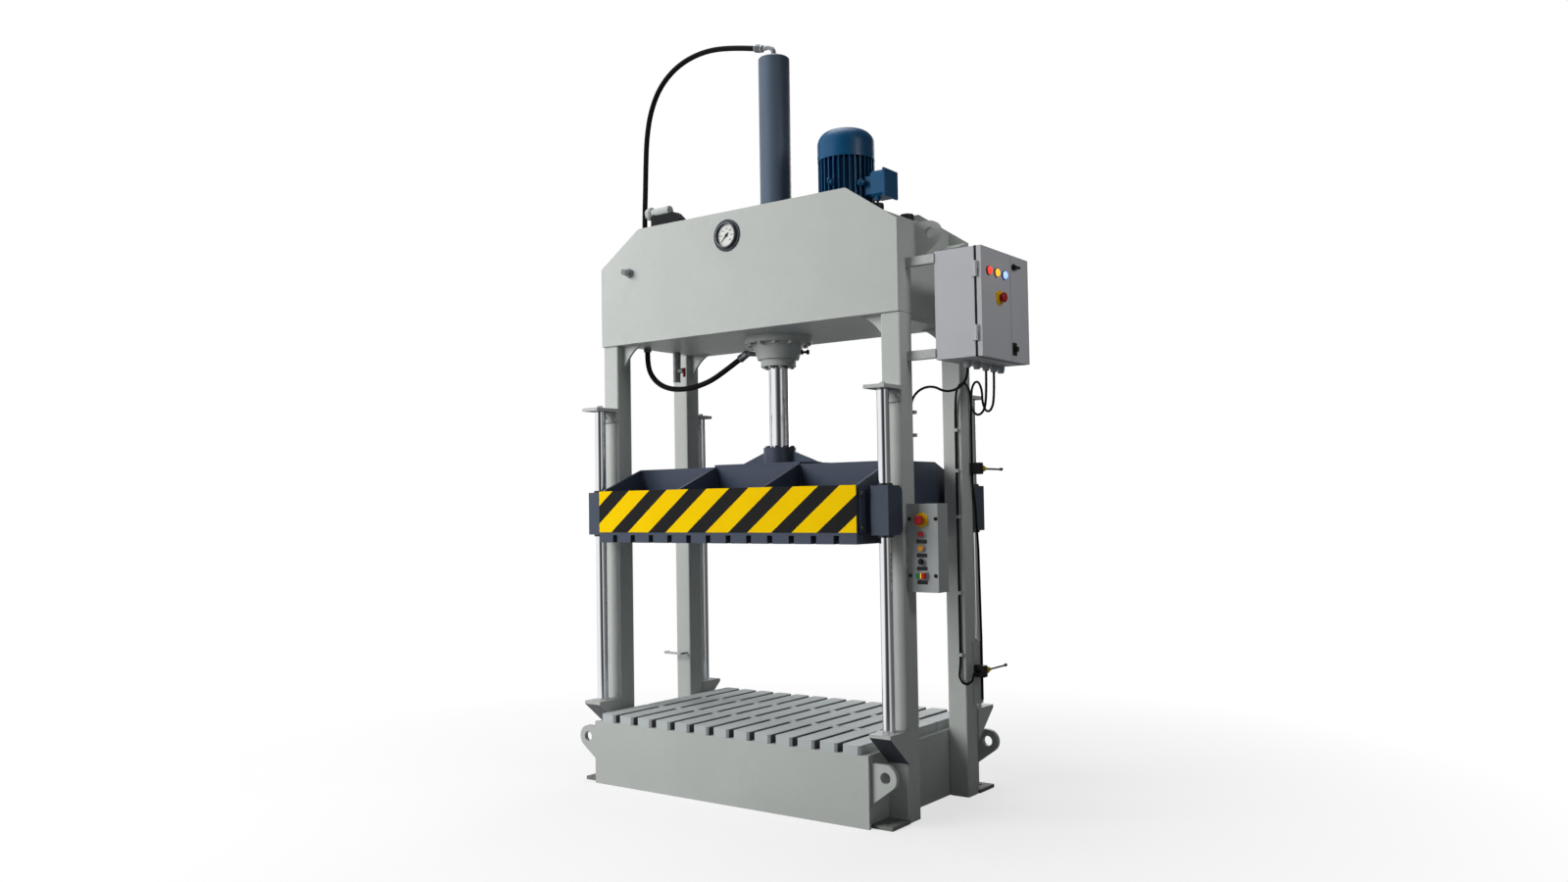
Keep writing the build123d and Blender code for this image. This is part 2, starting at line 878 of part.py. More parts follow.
def platen_frame():
    """Edge plates, ribs, box beam and collar gussets of the platen."""
    y_in = platen_y - edge_t
    pieces = [block((-platen_x, platen_x), mirrored(y_in, platen_y, side), (tray_z, edge_top_z))
              for side in both]
    half = [(y_in, tray_z), (y_in, edge_top_z), (beam_half_d, peak_z)]
    rib = outline(*half, *[(-y, z) for y, z in reversed(half)])
    rib_x = [-platen_x + i * rib_pitch for i in range(bay_count + 1)]
    pieces += [slab_yz(rib, x, x + rib_t) for x in rib_x]
    for left, right in zip(rib_x, rib_x[1:]):
        x = (left + rib_t, right)
        for side in both:
            y = mirrored(beam_half_d - beam_t, beam_half_d, side)
            pieces.append(block(x, y, (tray_z, peak_z)))
        y = (beam_t - beam_half_d, beam_half_d - beam_t)
        pieces.append(block(x, y, (peak_z - beam_t, peak_z)))
    doubler_x = (rib_x[1], rib_x[2] + rib_t)
    pieces.append(block(doubler_x, (-beam_half_d, beam_half_d), (peak_z, boss_z)))
    fin = [(collar_r, boss_z), (collar_r + fin_reach, boss_z), (collar_r, boss_z + fin_h)]
    for side in both:
        face = outline(*[(side * x, z) for x, z in fin])
        pieces.append(slab_xz(face, -fin_t / 2, fin_t / 2))
    return pieces


def hazard_panel():
    """Thin sheet on the front edge plate that carries the striped field."""
    return block((-platen_x, platen_x), (-platen_y - panel_t, -platen_y), (tray_z, edge_top_z))


def guide_box(sx, sy):
    """Block that slides on a guide rod, with its neck and bolted flange to the platen."""
    z = (sole_z, sole_z + guide_h)
    mid_z = (z[0] + z[1]) / 2
    x = (rod_x - guide_w / 2, rod_x + guide_w / 2)
    y = (half_d + guide_gap, rod_y + guide_wall_front)
    body = block(x, y, z)
    inner_edges = body.edges().filter_by(Axis.X).group_by(Axis.Y)[0]
    body = fillet(inner_edges, guide_round)
    neck_z = (mid_z - guide_neck_h / 2, mid_z + guide_neck_h / 2)
    neck_y = (rod_y - guide_neck_w / 2, rod_y + guide_neck_w / 2)
    body += block((platen_x, x[0]), neck_y, neck_z)
    flange_z = (mid_z - guide_flange_h / 2, mid_z + guide_flange_h / 2)
    flange_y = (y[1], y[1] + guide_flange_w)
    body += block((platen_x, platen_x + guide_flange_t), (neck_y[0], flange_y[1]), flange_z)
    bore = rod_r + bush_wall
    body -= rod(bore, (rod_x, rod_y, z[0] - overrun), (rod_x, rod_y, z[1] + overrun))
    if sx < 0:
        body = mirror(body, Plane.YZ)
    if sy < 0:
        body = mirror(body, Plane.XZ)
    return body


def guide_boxes():
    """The four guide blocks of the platen."""
    return [guide_box(sx, sy) for sx in both for sy in both]


def guide_bushes():
    """Bushes pressed into the guide boxes."""
    z = (sole_z - bush_proud, sole_z + guide_h + bush_proud)
    outer = rod_r + bush_wall - fit_gap
    return [tube(outer, rod_r + fit_gap, (sx * rod_x, sy * rod_y, z[0]), (sx * rod_x, sy * rod_y, z[1]))
            for sx in both for sy in both]


def guide_rods():
    """Four guide rods between their brackets."""
    return [rod(rod_r, (sx * rod_x, sy * rod_y, bracket_top_z), (sx * rod_x, sy * rod_y, rod_top_z))
            for sx in both for sy in both]


def lower_rod_brackets():
    """Wedge brackets on the posts that carry the feet of the rods."""
    low_z = bracket_top_z - bracket_t
    side = [(half_d, bracket_top_z), (half_d + bracket_reach, bracket_top_z),
            (half_d + bracket_reach, low_z), (half_d, low_z - wedge_h)]
    wedges = []
    for sx in both:
        for sy in both:
            face = outline(*[(sy * y, z) for y, z in side])
            x = mirrored(rod_x - bracket_w / 2, rod_x + bracket_w / 2, sx)
            wedges.append(slab_yz(face, *x))
    return wedges


def upper_rod_brackets():
    """Angle brackets on the posts that hold the heads of the rods."""
    low_z = rod_top_z - top_flange_h
    top_z = rod_top_z + top_plate_t
    step_y = half_d + top_flange_t
    angles = []
    for sy, reach in ((-1, bracket_reach), (1, top_rear_reach)):
        end_y = half_d + reach
        profile = [(half_d, low_z), (half_d, top_z), (end_y, top_z), (end_y, rod_top_z), (step_y, rod_top_z),
                   (step_y, low_z)]
        face = outline(*[(sy * y, z) for y, z in profile])
        for sx in both:
            x = mirrored(rod_x - bracket_w / 2, rod_x + bracket_w / 2, sx)
            angles.append(slab_yz(face, *x))
    return angles


def motor_frame():
    """Finned motor body with its flange, bored for the rotor."""
    z0 = tank_top_z
    z1 = z0 + motor_flange_t
    shield = [(shaft_r + overrun, z0), (motor_flange_r, z0), (motor_flange_r, z1), (motor_shield_r, z1),
              (motor_shield_r, motor_body_z), (shaft_r + overrun, motor_body_z)]
    body = turned(shield, motor_x)
    ribs = Circle(motor_core_r)
    rib_l = fin_tip_r - motor_core_r + overrun
    rib = Pos(fin_tip_r - rib_l / 2, 0) * Rectangle(rib_l, motor_fin_t)
    for i in range(motor_fin_count):
        ribs += Rot(0, 0, (i + fin_turn_share) * 360 / motor_fin_count) * rib
    body += slab_xy(Pos(motor_x, 0) * ribs, motor_body_z, motor_body_top_z)
    core_z = (motor_body_z + rotor_end, motor_body_top_z - rotor_end)
    body -= rod(rotor_bore_r, (motor_x, 0, core_z[0]), (motor_x, 0, core_z[1]))
    body -= rod(shaft_r + fit_gap, (motor_x, 0, z0 - overrun), (motor_x, 0, motor_body_top_z + overrun))
    mid_z = terminal_z + terminal_h / 2
    pad_x = (motor_x + fin_tip_r - pad_in, motor_x + fin_tip_r + overrun)
    pad_y = (-terminal_neck_w / 2, terminal_neck_w / 2)
    return body - block(pad_x, pad_y, (mid_z - terminal_neck_h / 2, mid_z + terminal_neck_h / 2))


def fan_cover():
    """Domed cover over the motor's fan, with slots round its top."""
    r = cover_r
    top = cover_top_z
    inner = r - cover_t
    outer_line = Polyline((cover_t, top), (r - cover_dome_r, top))
    outer_arc = RadiusArc((r - cover_dome_r, top), (r, top - cover_dome_r), cover_dome_r)
    low = motor_body_top_z
    rim = Polyline((r, top - cover_dome_r), (r, low), (inner, low), (inner, top - cover_dome_r))
    inner_arc = RadiusArc((inner, top - cover_dome_r), (r - cover_dome_r, top - cover_t),
                          cover_t - cover_dome_r)
    close = Polyline((r - cover_dome_r, top - cover_t), (cover_t, top - cover_t), (cover_t, top))
    lines = outer_line.edges() + outer_arc.edges() + rim.edges() + inner_arc.edges() + close.edges()
    shell = Pos(motor_x, 0, 0) * revolve(Plane.XZ * make_face(lines), Axis.Z)
    slot = Pos(grille_slot_in + grille_slot_l / 2, 0) * Rectangle(grille_slot_l, grille_slot_w)
    for i in range(grille_slots):
        turn = Rot(0, 0, i * 360 / grille_slots) * slot
        shell -= slab_xy(Pos(motor_x, 0) * turn, top - cover_dome_r, top + overrun)
    return shell


def motor_rotor():
    """Rotor core, shaft and fan of the motor, which turn together."""
    core_z = (motor_body_z + rotor_end + rotor_room, motor_body_top_z - rotor_end - rotor_room)
    fan_z = motor_body_top_z + fan_lift
    shaft = rod(shaft_r, (0, 0, tank_top_z - shaft_below), (0, 0, fan_z + fan_hub_h))
    core = rod(rotor_r, (0, 0, core_z[0]), (0, 0, core_z[1]))
    hub = rod(fan_hub_r, (0, 0, fan_z), (0, 0, fan_z + fan_hub_h))
    turning = shaft + core + hub
    for i in range(fan_blades):
        blade = block((fan_hub_r - overrun, fan_r), (-fan_blade_t / 2, fan_blade_t / 2),
                      (fan_z, fan_z + fan_blade_h))
        turning += Rot(0, 0, i * 360 / fan_blades) * blade
    return Pos(motor_x, 0, 0) * turning


def terminal_box():
    """Terminal box on the side of the motor, with its lid and cable gland."""
    face_x = motor_x + fin_tip_r
    case_x = face_x + terminal_neck_l
    neck_x = (face_x - pad_in, case_x)
    mid_z = terminal_z + terminal_h / 2
    neck_z = (mid_z - terminal_neck_h / 2, mid_z + terminal_neck_h / 2)
    body = block(neck_x, (-terminal_neck_w / 2, terminal_neck_w / 2), neck_z)
    x1 = face_x + terminal_d
    z = (terminal_z, terminal_z + terminal_h)
    case = block((case_x, x1), (-terminal_w / 2, terminal_w / 2), z)
    case = chamfer(case.edges().filter_by(Axis.X), terminal_lid_t)
    body += case
    lip = terminal_lid_lip
    lid_y = terminal_w / 2 + lip
    lid = block((x1, x1 + terminal_lid_t), (-lid_y, lid_y), (z[0] - lip, z[1] + lip))
    body += chamfer(lid.faces().sort_by(Axis.X)[-1].edges(), lip)
    at = (face_x + cable_in, -cable_aside)
    return body + rod(cable_gland_r, (*at, terminal_z - cable_gland_h), (*at, terminal_z + overrun))


def motor_cable_route():
    """Points of the short cable from the terminal box down to the tank."""
    start = (motor_x + fin_tip_r + cable_in, -cable_aside)
    end = (motor_x + entry_out, -entry_aside)
    high_z = terminal_z - cable_gland_h
    low_z = tank_top_z + cable_gland_h
    return [(*start, high_z), (*start, high_z - motor_cable_run),
            (*end, low_z + motor_cable_run), (*end, low_z)]


def valve_block():
    """Manifold with a spool valve and its coil, and the drain valve's body."""
    z = deck_z + valve_h
    manifold = block(valve_x, valve_y, (deck_z, z))
    spool = block(spool_x, spool_y, (z, z + spool_h))
    spool = chamfer(spool.faces().sort_by(Axis.Z)[-1].edges().sort_by(Axis.X)[-1], spool_slope)
    mid = (valve_mid_y, z + spool_h + coil_r - coil_sink)
    coil_x = spool_x[0] - coil_out
    spool += rod(coil_r, (coil_x, *mid), (coil_x + coil_l, *mid))
    spool += rod(coil_cap_r, (coil_x, *mid), (coil_x + coil_cap_l, *mid))
    riser = rod(riser_r, (riser_x, riser_y, z), (riser_x, riser_y, z + riser_h))
    pipe = rod(drain_r, (drain_x, drain_y, head_z - drain_l), (drain_x, drain_y, head_z))
    hub_end = drain_x + drain_r + drain_hub_l
    pipe += rod(drain_hub_r, (drain_x, drain_y, drain_hub_z), (hub_end, drain_y, drain_hub_z))
    return [manifold + spool + riser, pipe]


def drain_lever():
    """Lever of the drain valve, on the end of its hub."""
    x = drain_x + drain_r + drain_hub_l
    bar = block((x, x + lever_t), (drain_y - lever_w / 2, drain_y + lever_w / 2),
                (drain_hub_z - lever_l, drain_hub_z + drain_hub_r))
    return fillet(bar.edges().filter_by(Axis.X), lever_w / 2 - lever_t / 2)


def hose_fittings(head):
    """Elbow and ferrules of the hoses, and the test port on the front plate."""
    nut = hexagon(2 * elbow_nut_r, (0, 0, barrel_top_z), (0, 0, 1), elbow_nut_h)
    end = Vector(-elbow_run, 0, barrel_top_z + elbow_rise)
    rise = math.radians(elbow_up_deg)
    swing = math.radians(elbow_swing_deg)
    way = Vector(-math.cos(rise) * math.cos(swing), -math.cos(rise) * math.sin(swing), math.sin(rise))
    route = [(0, 0, barrel_top_z + elbow_nut_h), (0, 0, end.Z), tuple(end)]
    elbow = nut + swept(FilletPolyline(*route, radius=elbow_bend), route, pipe_r)
    elbow += rod(ferrule_r, tuple(end), tuple(end + way * ferrule_l))
    valve_top = deck_z + valve_h + riser_h
    foot = rod(ferrule_r, (riser_x, riser_y, valve_top), (riser_x, riser_y, valve_top + ferrule_l))
    bend = Vector(port_x, port_y, head_z - port_drop)
    side = Vector(port_x, port_y, 0).normalized() * (housing_low_r - overrun) + Vector(0, 0, bend.Z)
    port = rod(ferrule_r, tuple(bend), tuple(bend + Vector(*port_slope).normalized() * ferrule_l))
    port += rod(pipe_r, tuple(bend), tuple(side)) + Pos(*bend) * Sphere(ferrule_r)
    drop_at = (hose_in - inner_x, hose_y)
    drop = rod(ferrule_r, (*drop_at, head_z), (*drop_at, head_z - drop_l))
    front = -half_d - head_plate_t
    test = hexagon(2 * test_nut_r, (test_x, front, test_z), (0, -1, 0), test_nut_h)
    step = front - test_nut_h
    test += rod(test_body_r, (test_x, step, test_z), (test_x, step - test_body_h, test_z))
    return [elbow, foot, port - head, drop, test]


def gauge_case():
    """Pressure gauge with a flange, a rim round the sunk dial and the pointer's pin."""
    front = -half_d - head_plate_t
    face = front - gauge_rim_h
    dial = face + gauge_dial_depth
    at = (gauge_x, front, gauge_z)
    case = rod(gauge_flange_r, at, (gauge_x, front - gauge_flange_t, gauge_z))
    case += rod(gauge_rim_r, at, (gauge_x, face, gauge_z))
    case -= rod(gauge_dial_r, (gauge_x, dial, gauge_z), (gauge_x, face - overrun, gauge_z))
    pin_end = dial - pointer_lift - pointer_t
    return case + rod(pointer_pin_r, (gauge_x, dial, gauge_z), (gauge_x, pin_end, gauge_z))


def gauge_pointer():
    """Pointer of the gauge, on its pin, pointing at the lower left of the dial."""
    dial = -half_d - head_plate_t - gauge_rim_h + gauge_dial_depth
    y = (dial - pointer_lift - pointer_t, dial - pointer_lift)
    needle = outline((-pointer_l, 0), (0, pointer_w / 2), (pointer_tail, pointer_w / 2),
                     (pointer_tail, -pointer_w / 2), (0, -pointer_w / 2))
    hole = Circle(pointer_pin_r + fit_gap)
    face = Rot(0, 0, pointer_rest_deg) * (needle + Circle(pointer_hub_r) - hole)
    return Pos(gauge_x, 0, gauge_z) * slab_xz(face, *y)


def hinge_axis(side):
    """Plan position of a cabinet door's hinge: side -1 is the front edge, 1 the rear edge."""
    y = cab_y - hinge_out if side < 0 else cab_y1 + hinge_out
    return door_x - door_gap / 2, y


def hinge_heights():
    """Lower ends of the two hinges of a door."""
    return cab_z + hinge_inset, cab_top_z - hinge_inset - 2 * hinge_h


def knuckles(side, upper, x):
    """Hinge barrels of one leaf, with webs that reach to the sheet at x."""
    axis_x, axis_y = hinge_axis(side)
    pieces = []
    for z in hinge_heights():
        low = z + hinge_h + slide_gap if upper else z
        high = z + 2 * hinge_h if upper else z + hinge_h
        barrel = rod(hinge_r, (axis_x, axis_y, low), (axis_x, axis_y, high))
        sheet_y = cab_y if side < 0 else cab_y1
        web_y = tuple(sorted((axis_y, sheet_y - side * cab_wall)))
        pieces.append(barrel + block(tuple(sorted(x)), web_y, (low, high)))
    return pieces


def cabinet_body():
    """Sheet cabinet, open to the doors, with a rim round its mouth and hinge halves."""
    x = (cab_x, cab_x + cab_depth)
    body = block(x, (cab_y, cab_y1), (cab_z, cab_top_z))
    body -= block((cab_x + cab_wall, x[1] - cab_wall), (cab_y + cab_wall, cab_y1 - cab_wall),
                  (cab_z + cab_wall, cab_top_z - cab_wall))
    body -= block((x[1] - cab_wall - overrun, x[1] + overrun), (cab_y + cab_rim, cab_y1 - cab_rim),
                  (cab_z + cab_rim, cab_top_z - cab_rim))
    for side in both:
        for piece in knuckles(side, False, (x[1] - cab_rim, hinge_axis(side)[0])):
            body += piece
    return body


def door(y0, y1, side):
    """Folded door pan with its hinge halves; the pan is open to the inside."""
    pan = block((door_x, door_face_x), (y0, y1), (cab_z, cab_top_z))
    pan -= block((door_x - overrun, door_face_x - cab_wall), (y0 + cab_wall, y1 - cab_wall),
                 (cab_z + cab_wall, cab_top_z - cab_wall))
    for piece in knuckles(side, True, (hinge_axis(side)[0], door_x + hinge_r)):
        pan += piece
    return pan


def drilled(panel, places, radius):
    """A door with holes through its face."""
    for y, z in places:
        panel -= rod(radius, (door_face_x - cab_wall - overrun, y, z), (door_face_x + overrun, y, z))
    return panel


def left_door():
    """Wider door, at the front, with the lamps and the emergency stop."""
    panel = door(cab_y, split_y - door_seam / 2, -1)
    panel = drilled(panel, [(y, lamp_z) for y in lamp_y], lamp_stem_r + slide_gap)
    return drilled(panel, [(cab_stop_y, cab_stop_z)], stop_neck_r + slide_gap)


def right_door():
    """Narrower door, at the rear, with two latches."""
    panel = door(split_y + door_seam / 2, cab_y1, 1)
    return drilled(panel, [(latch_y, latch_top_z), (latch_y, latch_low_z)], latch_stem_r + slide_gap)


def switchgear():
    """Mounting plate on stand-offs with rows of switchgear."""
    x = cab_x + cab_wall
    y = (cab_y + plate_inset, cab_y1 - plate_inset)
    z = (cab_z + plate_inset, cab_top_z - plate_inset)
    plate_x = (x + plate_stand, x + plate_stand + plate_t)
    gear = block(plate_x, y, z)
    for at_y in (y[0] + plate_inset, y[1] - plate_inset):
        for at_z in (z[0] + plate_inset, z[1] - plate_inset):
            gear += rod(plate_stand / 2, (x, at_y, at_z), (plate_x[0], at_y, at_z))
    for row in range(device_rows):
        low = z[0] + device_rise + row * device_pitch
        for column in range(device_columns):
            left = y[0] + device_gap + column * (device_w + device_gap)
            depth = device_depth if (row + column) % 2 else device_depth * low_device_share
            gear += block((plate_x[1], plate_x[1] + depth), (left, left + device_w),
                          (low, low + device_row_h))
    return gear


def pilot_lamps():
    """Three pilot lamps, each a bezel, a lens and a stem through the door."""
    lamps = []
    x = door_face_x
    for y in lamp_y:
        lamp = rod(lamp_bezel_r, (x, y, lamp_z), (x + lamp_bezel_h, y, lamp_z))
        lens = rod(lamp_r, (x, y, lamp_z), (x + lamp_bezel_h + lamp_h, y, lamp_z))
        lens = chamfer(lens.faces().sort_by(Axis.X)[-1].edges(), lamp_h / 2)
        lamps.append(lamp + lens + rod(lamp_stem_r, (x - lamp_stem_l, y, lamp_z), (x, y, lamp_z)))
    return lamps


def stop_collar():
    """Collar of an emergency stop, facing up, bored for its button."""
    neck = stop_neck_r + slide_gap
    stem = stop_stem_r + slide_gap
    profile = [(stem, -stop_stem_l), (stop_neck_r, -stop_stem_l), (stop_neck_r, 0), (stop_collar_r, 0),
               (stop_collar_r - stop_edge_r / 2, stop_collar_h), (neck, stop_collar_h), (neck, 0), (stem, 0)]
    return turned(profile)


def stop_button():
    """Mushroom button of an emergency stop, facing up, in its pulled-out place."""
    rise = stop_neck_l
    neck = stop_neck_r
    low = button_travel + slide_gap
    profile = [(0, slide_gap - stop_stem_l), (stop_stem_r, slide_gap - stop_stem_l), (stop_stem_r, low),
               (neck, low), (neck, rise), (stop_head_r - stop_edge_r, rise),
               (stop_head_r, rise + stop_edge_r), (stop_head_r, rise + stop_head_h - stop_edge_r),
               (stop_head_r - stop_edge_r, rise + stop_head_h), (0, rise + stop_head_h)]
    return turned(profile)


def on_door(shape, y, z):
    """Places a shape that faces up on the face of a cabinet door."""
    return Pos(door_face_x, y, z) * Rot(0, 90, 0) * shape


def on_box(shape, z):
    """Places a shape that faces up on the face of the operator box."""
    return Pos(control_x, box_front_y, z) * Rot(90, 0, 0) * shape


def latch(z, bar):
    """Quarter-turn latch: a head on the door's face, a stem and a cam behind it."""
    x = door_face_x
    head = rod(latch_r, (x, latch_y, z), (x + latch_h, latch_y, z))
    if bar:
        head += block((x + latch_h, x + latch_h + latch_bar_t),
                      (latch_y - latch_bar_w, latch_y + latch_bar_l),
                      (z - latch_bar_w / 2, z + latch_bar_w / 2))
    else:
        key = latch_r * math.sqrt(1 / 2)
        head += block((x + latch_h, x + 2 * latch_h), (latch_y - key, latch_y + key), (z - key, z + key))
    head += rod(latch_stem_r, (x - latch_stem_l, latch_y, z), (x, latch_y, z))
    cam_x = (x - latch_stem_l, x - latch_stem_l + latch_cam_t)
    cam_y = (latch_y - latch_cam_w / 2, latch_y + latch_cam_w / 2)
    return head + block(cam_x, cam_y, (z - latch_cam_l, z + latch_stem_r))


def cable_glands():
    """Glands under the cabinet, and the one on the tank for the motor cable."""
    z = (cab_z - gland_out_h, cab_z - gland_out_h / 2, cab_z)
    tip_r = gland_out_r * gland_tip_share
    profile = [(0, z[0]), (tip_r, z[0]), (gland_out_r, z[1]), (gland_out_r, z[2]), (0, z[2])]
    at = (motor_x + entry_out, -entry_aside)
    entry = rod(cable_gland_r, (*at, tank_top_z), (*at, tank_top_z + cable_gland_h))
    return [turned(profile, gland_x, cab_y + cab_w * share) for share in gland_shares] + [entry]


def post_fittings():
    """Rails that carry the cabinet, and the strap hook on the rear left post."""
    pieces = []
    for z in (cab_z + rail_in, cab_top_z - rail_in - rail_h):
        pieces.append(block((half_w, cab_x), (rail_y - rail_t / 2, rail_y + rail_t / 2), (z, z + rail_h)))
    y = post_in_y
    route = [(-inner_x - hook_in, y, hook_z), (-inner_x - hook_in, y - hook_reach, hook_z),
             (-half_w - hook_out, y - hook_reach, hook_z), (-half_w - hook_out, y - hook_r, hook_z)]
    pieces.append(swept(FilletPolyline(*route, radius=2 * hook_r), route, hook_r))
    return pieces


def control_box():
    """Operator box on the front right post, with a hole and bezel for each control."""
    x = (half_w, half_w + box_w)
    y = (box_front_y, box_front_y + box_d)
    z = (box_z, box_z + box_h)
    body = block(x, y, z)
    body = chamfer(body.edges().filter_by(Axis.Z), box_wall / 2)
    body -= block((x[0] + box_wall, x[1] - box_wall), (y[0] + box_wall, y[1] - box_wall),
                  (z[0] + box_wall, z[1] - box_wall))
    ring = tube(bezel_r, button_r + slide_gap, (0, 0, 0), (0, 0, bezel_h))
    for place in (red_z, amber_z, selector_z):
        body += on_box(ring, place)
    hole = rod(button_stem_r + slide_gap, (0, 0, -box_wall - overrun), (0, 0, overrun))
    for place in (red_z, amber_z, selector_z):
        body -= on_box(hole, place)
    body -= on_box(rod(stop_neck_r + slide_gap, (0, 0, -box_wall - overrun), (0, 0, 0)), box_stop_z)
    slot = push_stem + 2 * slide_gap
    for side in both:
        mid = side * (window_w + push_w) / 2
        hole = block((mid - slot / 2, mid + slot / 2), (-slot / 2, slot / 2), (-box_wall - overrun, 0))
        body -= on_box(hole, double_z)
    return body


def push_cap():
    """Round push button, facing up, with its stem."""
    cap = rod(button_r, (0, 0, button_travel + slide_gap), (0, 0, button_h))
    cap = chamfer(cap.faces().sort_by(Axis.Z)[-1].edges(), button_edge)
    return cap + rod(button_stem_r, (0, 0, -button_stem_l), (0, 0, button_h / 2))


def selector_knob():
    """Selector with a raised bar, facing up, with its stem."""
    knob = rod(knob_r - button_edge, (0, 0, slide_gap), (0, 0, bezel_h + knob_h))
    bar_z = (bezel_h + slide_gap, bezel_h + knob_bar_h)
    bar = block((-knob_bar_w / 2, knob_bar_w / 2), (-knob_r, knob_r), bar_z)
    return knob + bar + rod(button_stem_r, (0, 0, -button_stem_l), (0, 0, bezel_h))


def double_base():
    """Body of the double push button, with a lit window between its two pushes."""
    base = block((-double_w / 2, double_w / 2), (-double_h / 2, double_h / 2), (0, double_base_t))
    for side in both:
        mid = side * (window_w + push_w) / 2
        well_x = (mid - push_w / 2 - slide_gap, mid + push_w / 2 + slide_gap)
        well_y = push_h / 2 + slide_gap
        base -= block(well_x, (-well_y, well_y), (-overrun, double_base_t + overrun))
    return base


def double_push(side):
    """One push of the double button, with its stem through the panel."""
    mid = side * (window_w + push_w) / 2
    cap = block((mid - push_w / 2, mid + push_w / 2), (-push_h / 2, push_h / 2),
                (button_travel + slide_gap, double_base_t + push_t))
    stem = block((mid - push_stem / 2, mid + push_stem / 2), (-push_stem / 2, push_stem / 2),
                 (-button_stem_l, button_travel + push_t / 2))
    return cap + stem


def limit_switches():
    """Bodies of the two limit switches."""
    y = (switch_y - switch_d / 2, switch_y + switch_d / 2)
    x = (half_w + strip_t, half_w + strip_t + switch_w)
    return [block(x, y, (z - switch_h / 2, z + switch_h / 2)) for z in switch_z]


def wand(z):
    """Sprung wand of a limit switch: a boot with a round heel, and a rod."""
    y = switch_y + switch_d / 2 + wand_gap
    boot = [(0, boot_r), (boot_r, boot_r), (boot_r, boot_l / 2), (boot_tip_r, boot_l), (wand_r, boot_l),
            (wand_r, boot_l + wand_l), (0, boot_l + wand_l)]
    return Pos(wand_x, y, z) * Rot(-90, 0, 0) * (turned(boot) + Pos(0, 0, boot_r) * Sphere(boot_r))


def switch_strips():
    """Strips that carry the limit switches, and the clips of the cables."""
    x = (half_w, half_w + strip_t)
    high = (switch_z[0] - strip_high_h / 2, switch_z[0] + strip_high_h / 2)
    strip_y = (half_d - strip_in, half_d + strip_out)
    pieces = [block(x, (strip_y[0], switch_y + switch_d / 2), high), block(x, strip_y, strip_low_z)]
    for z in clip_z:
        clip = block((lead_x - loop_cable_r - clip_edge, lead_x + loop_cable_r + clip_edge),
                     (lead_y - loop_cable_r - clip_edge / 2, post_in_y), (z - clip_h / 2, z + clip_h / 2))
        hole = rod(loop_cable_r + fit_gap, (lead_x, lead_y, z - clip_h), (lead_x, lead_y, z + clip_h))
        pieces.append(clip - hole)
    at = (lead_back_x, lead_back_y)
    for z in back_clip_z:
        clip = block((lead_back_x - loop_cable_r - clip_edge, half_w + clip_edge),
                     (-post_in_y, lead_back_y + loop_cable_r + clip_edge / 2),
                     (z - clip_h / 2, z + clip_h / 2))
        pieces.append(clip - rod(loop_cable_r + fit_gap, (*at, z - clip_h), (*at, z + clip_h)))
    return pieces


def clipped_leads():
    """Cables that clips hold along the posts."""
    low_z = switch_z[1]
    down = [(lead_x, lead_y, lead_top_z), (lead_x, lead_y, low_z + lead_turn_up)]
    down += [(half_w + x, post_in_y + y, low_z + z) for x, y, z in lead_loop_steps]
    high = (switch_z[0] + switch_h / 2, switch_z[0] - switch_h / 2)
    across = [(lead_side_x, switch_y, lead_high_z), (lead_side_x, switch_y, high[0])]
    low = [(lead_side_x, switch_y + y, high[1] + z) for y, z in lead_low_steps]
    back = [(lead_back_x, lead_back_y, lead_back_top_z), (lead_back_x, lead_back_y, lead_back_low_z)]
    return [lead(route, loop_cable_r) for route in (down, across, low, back)]


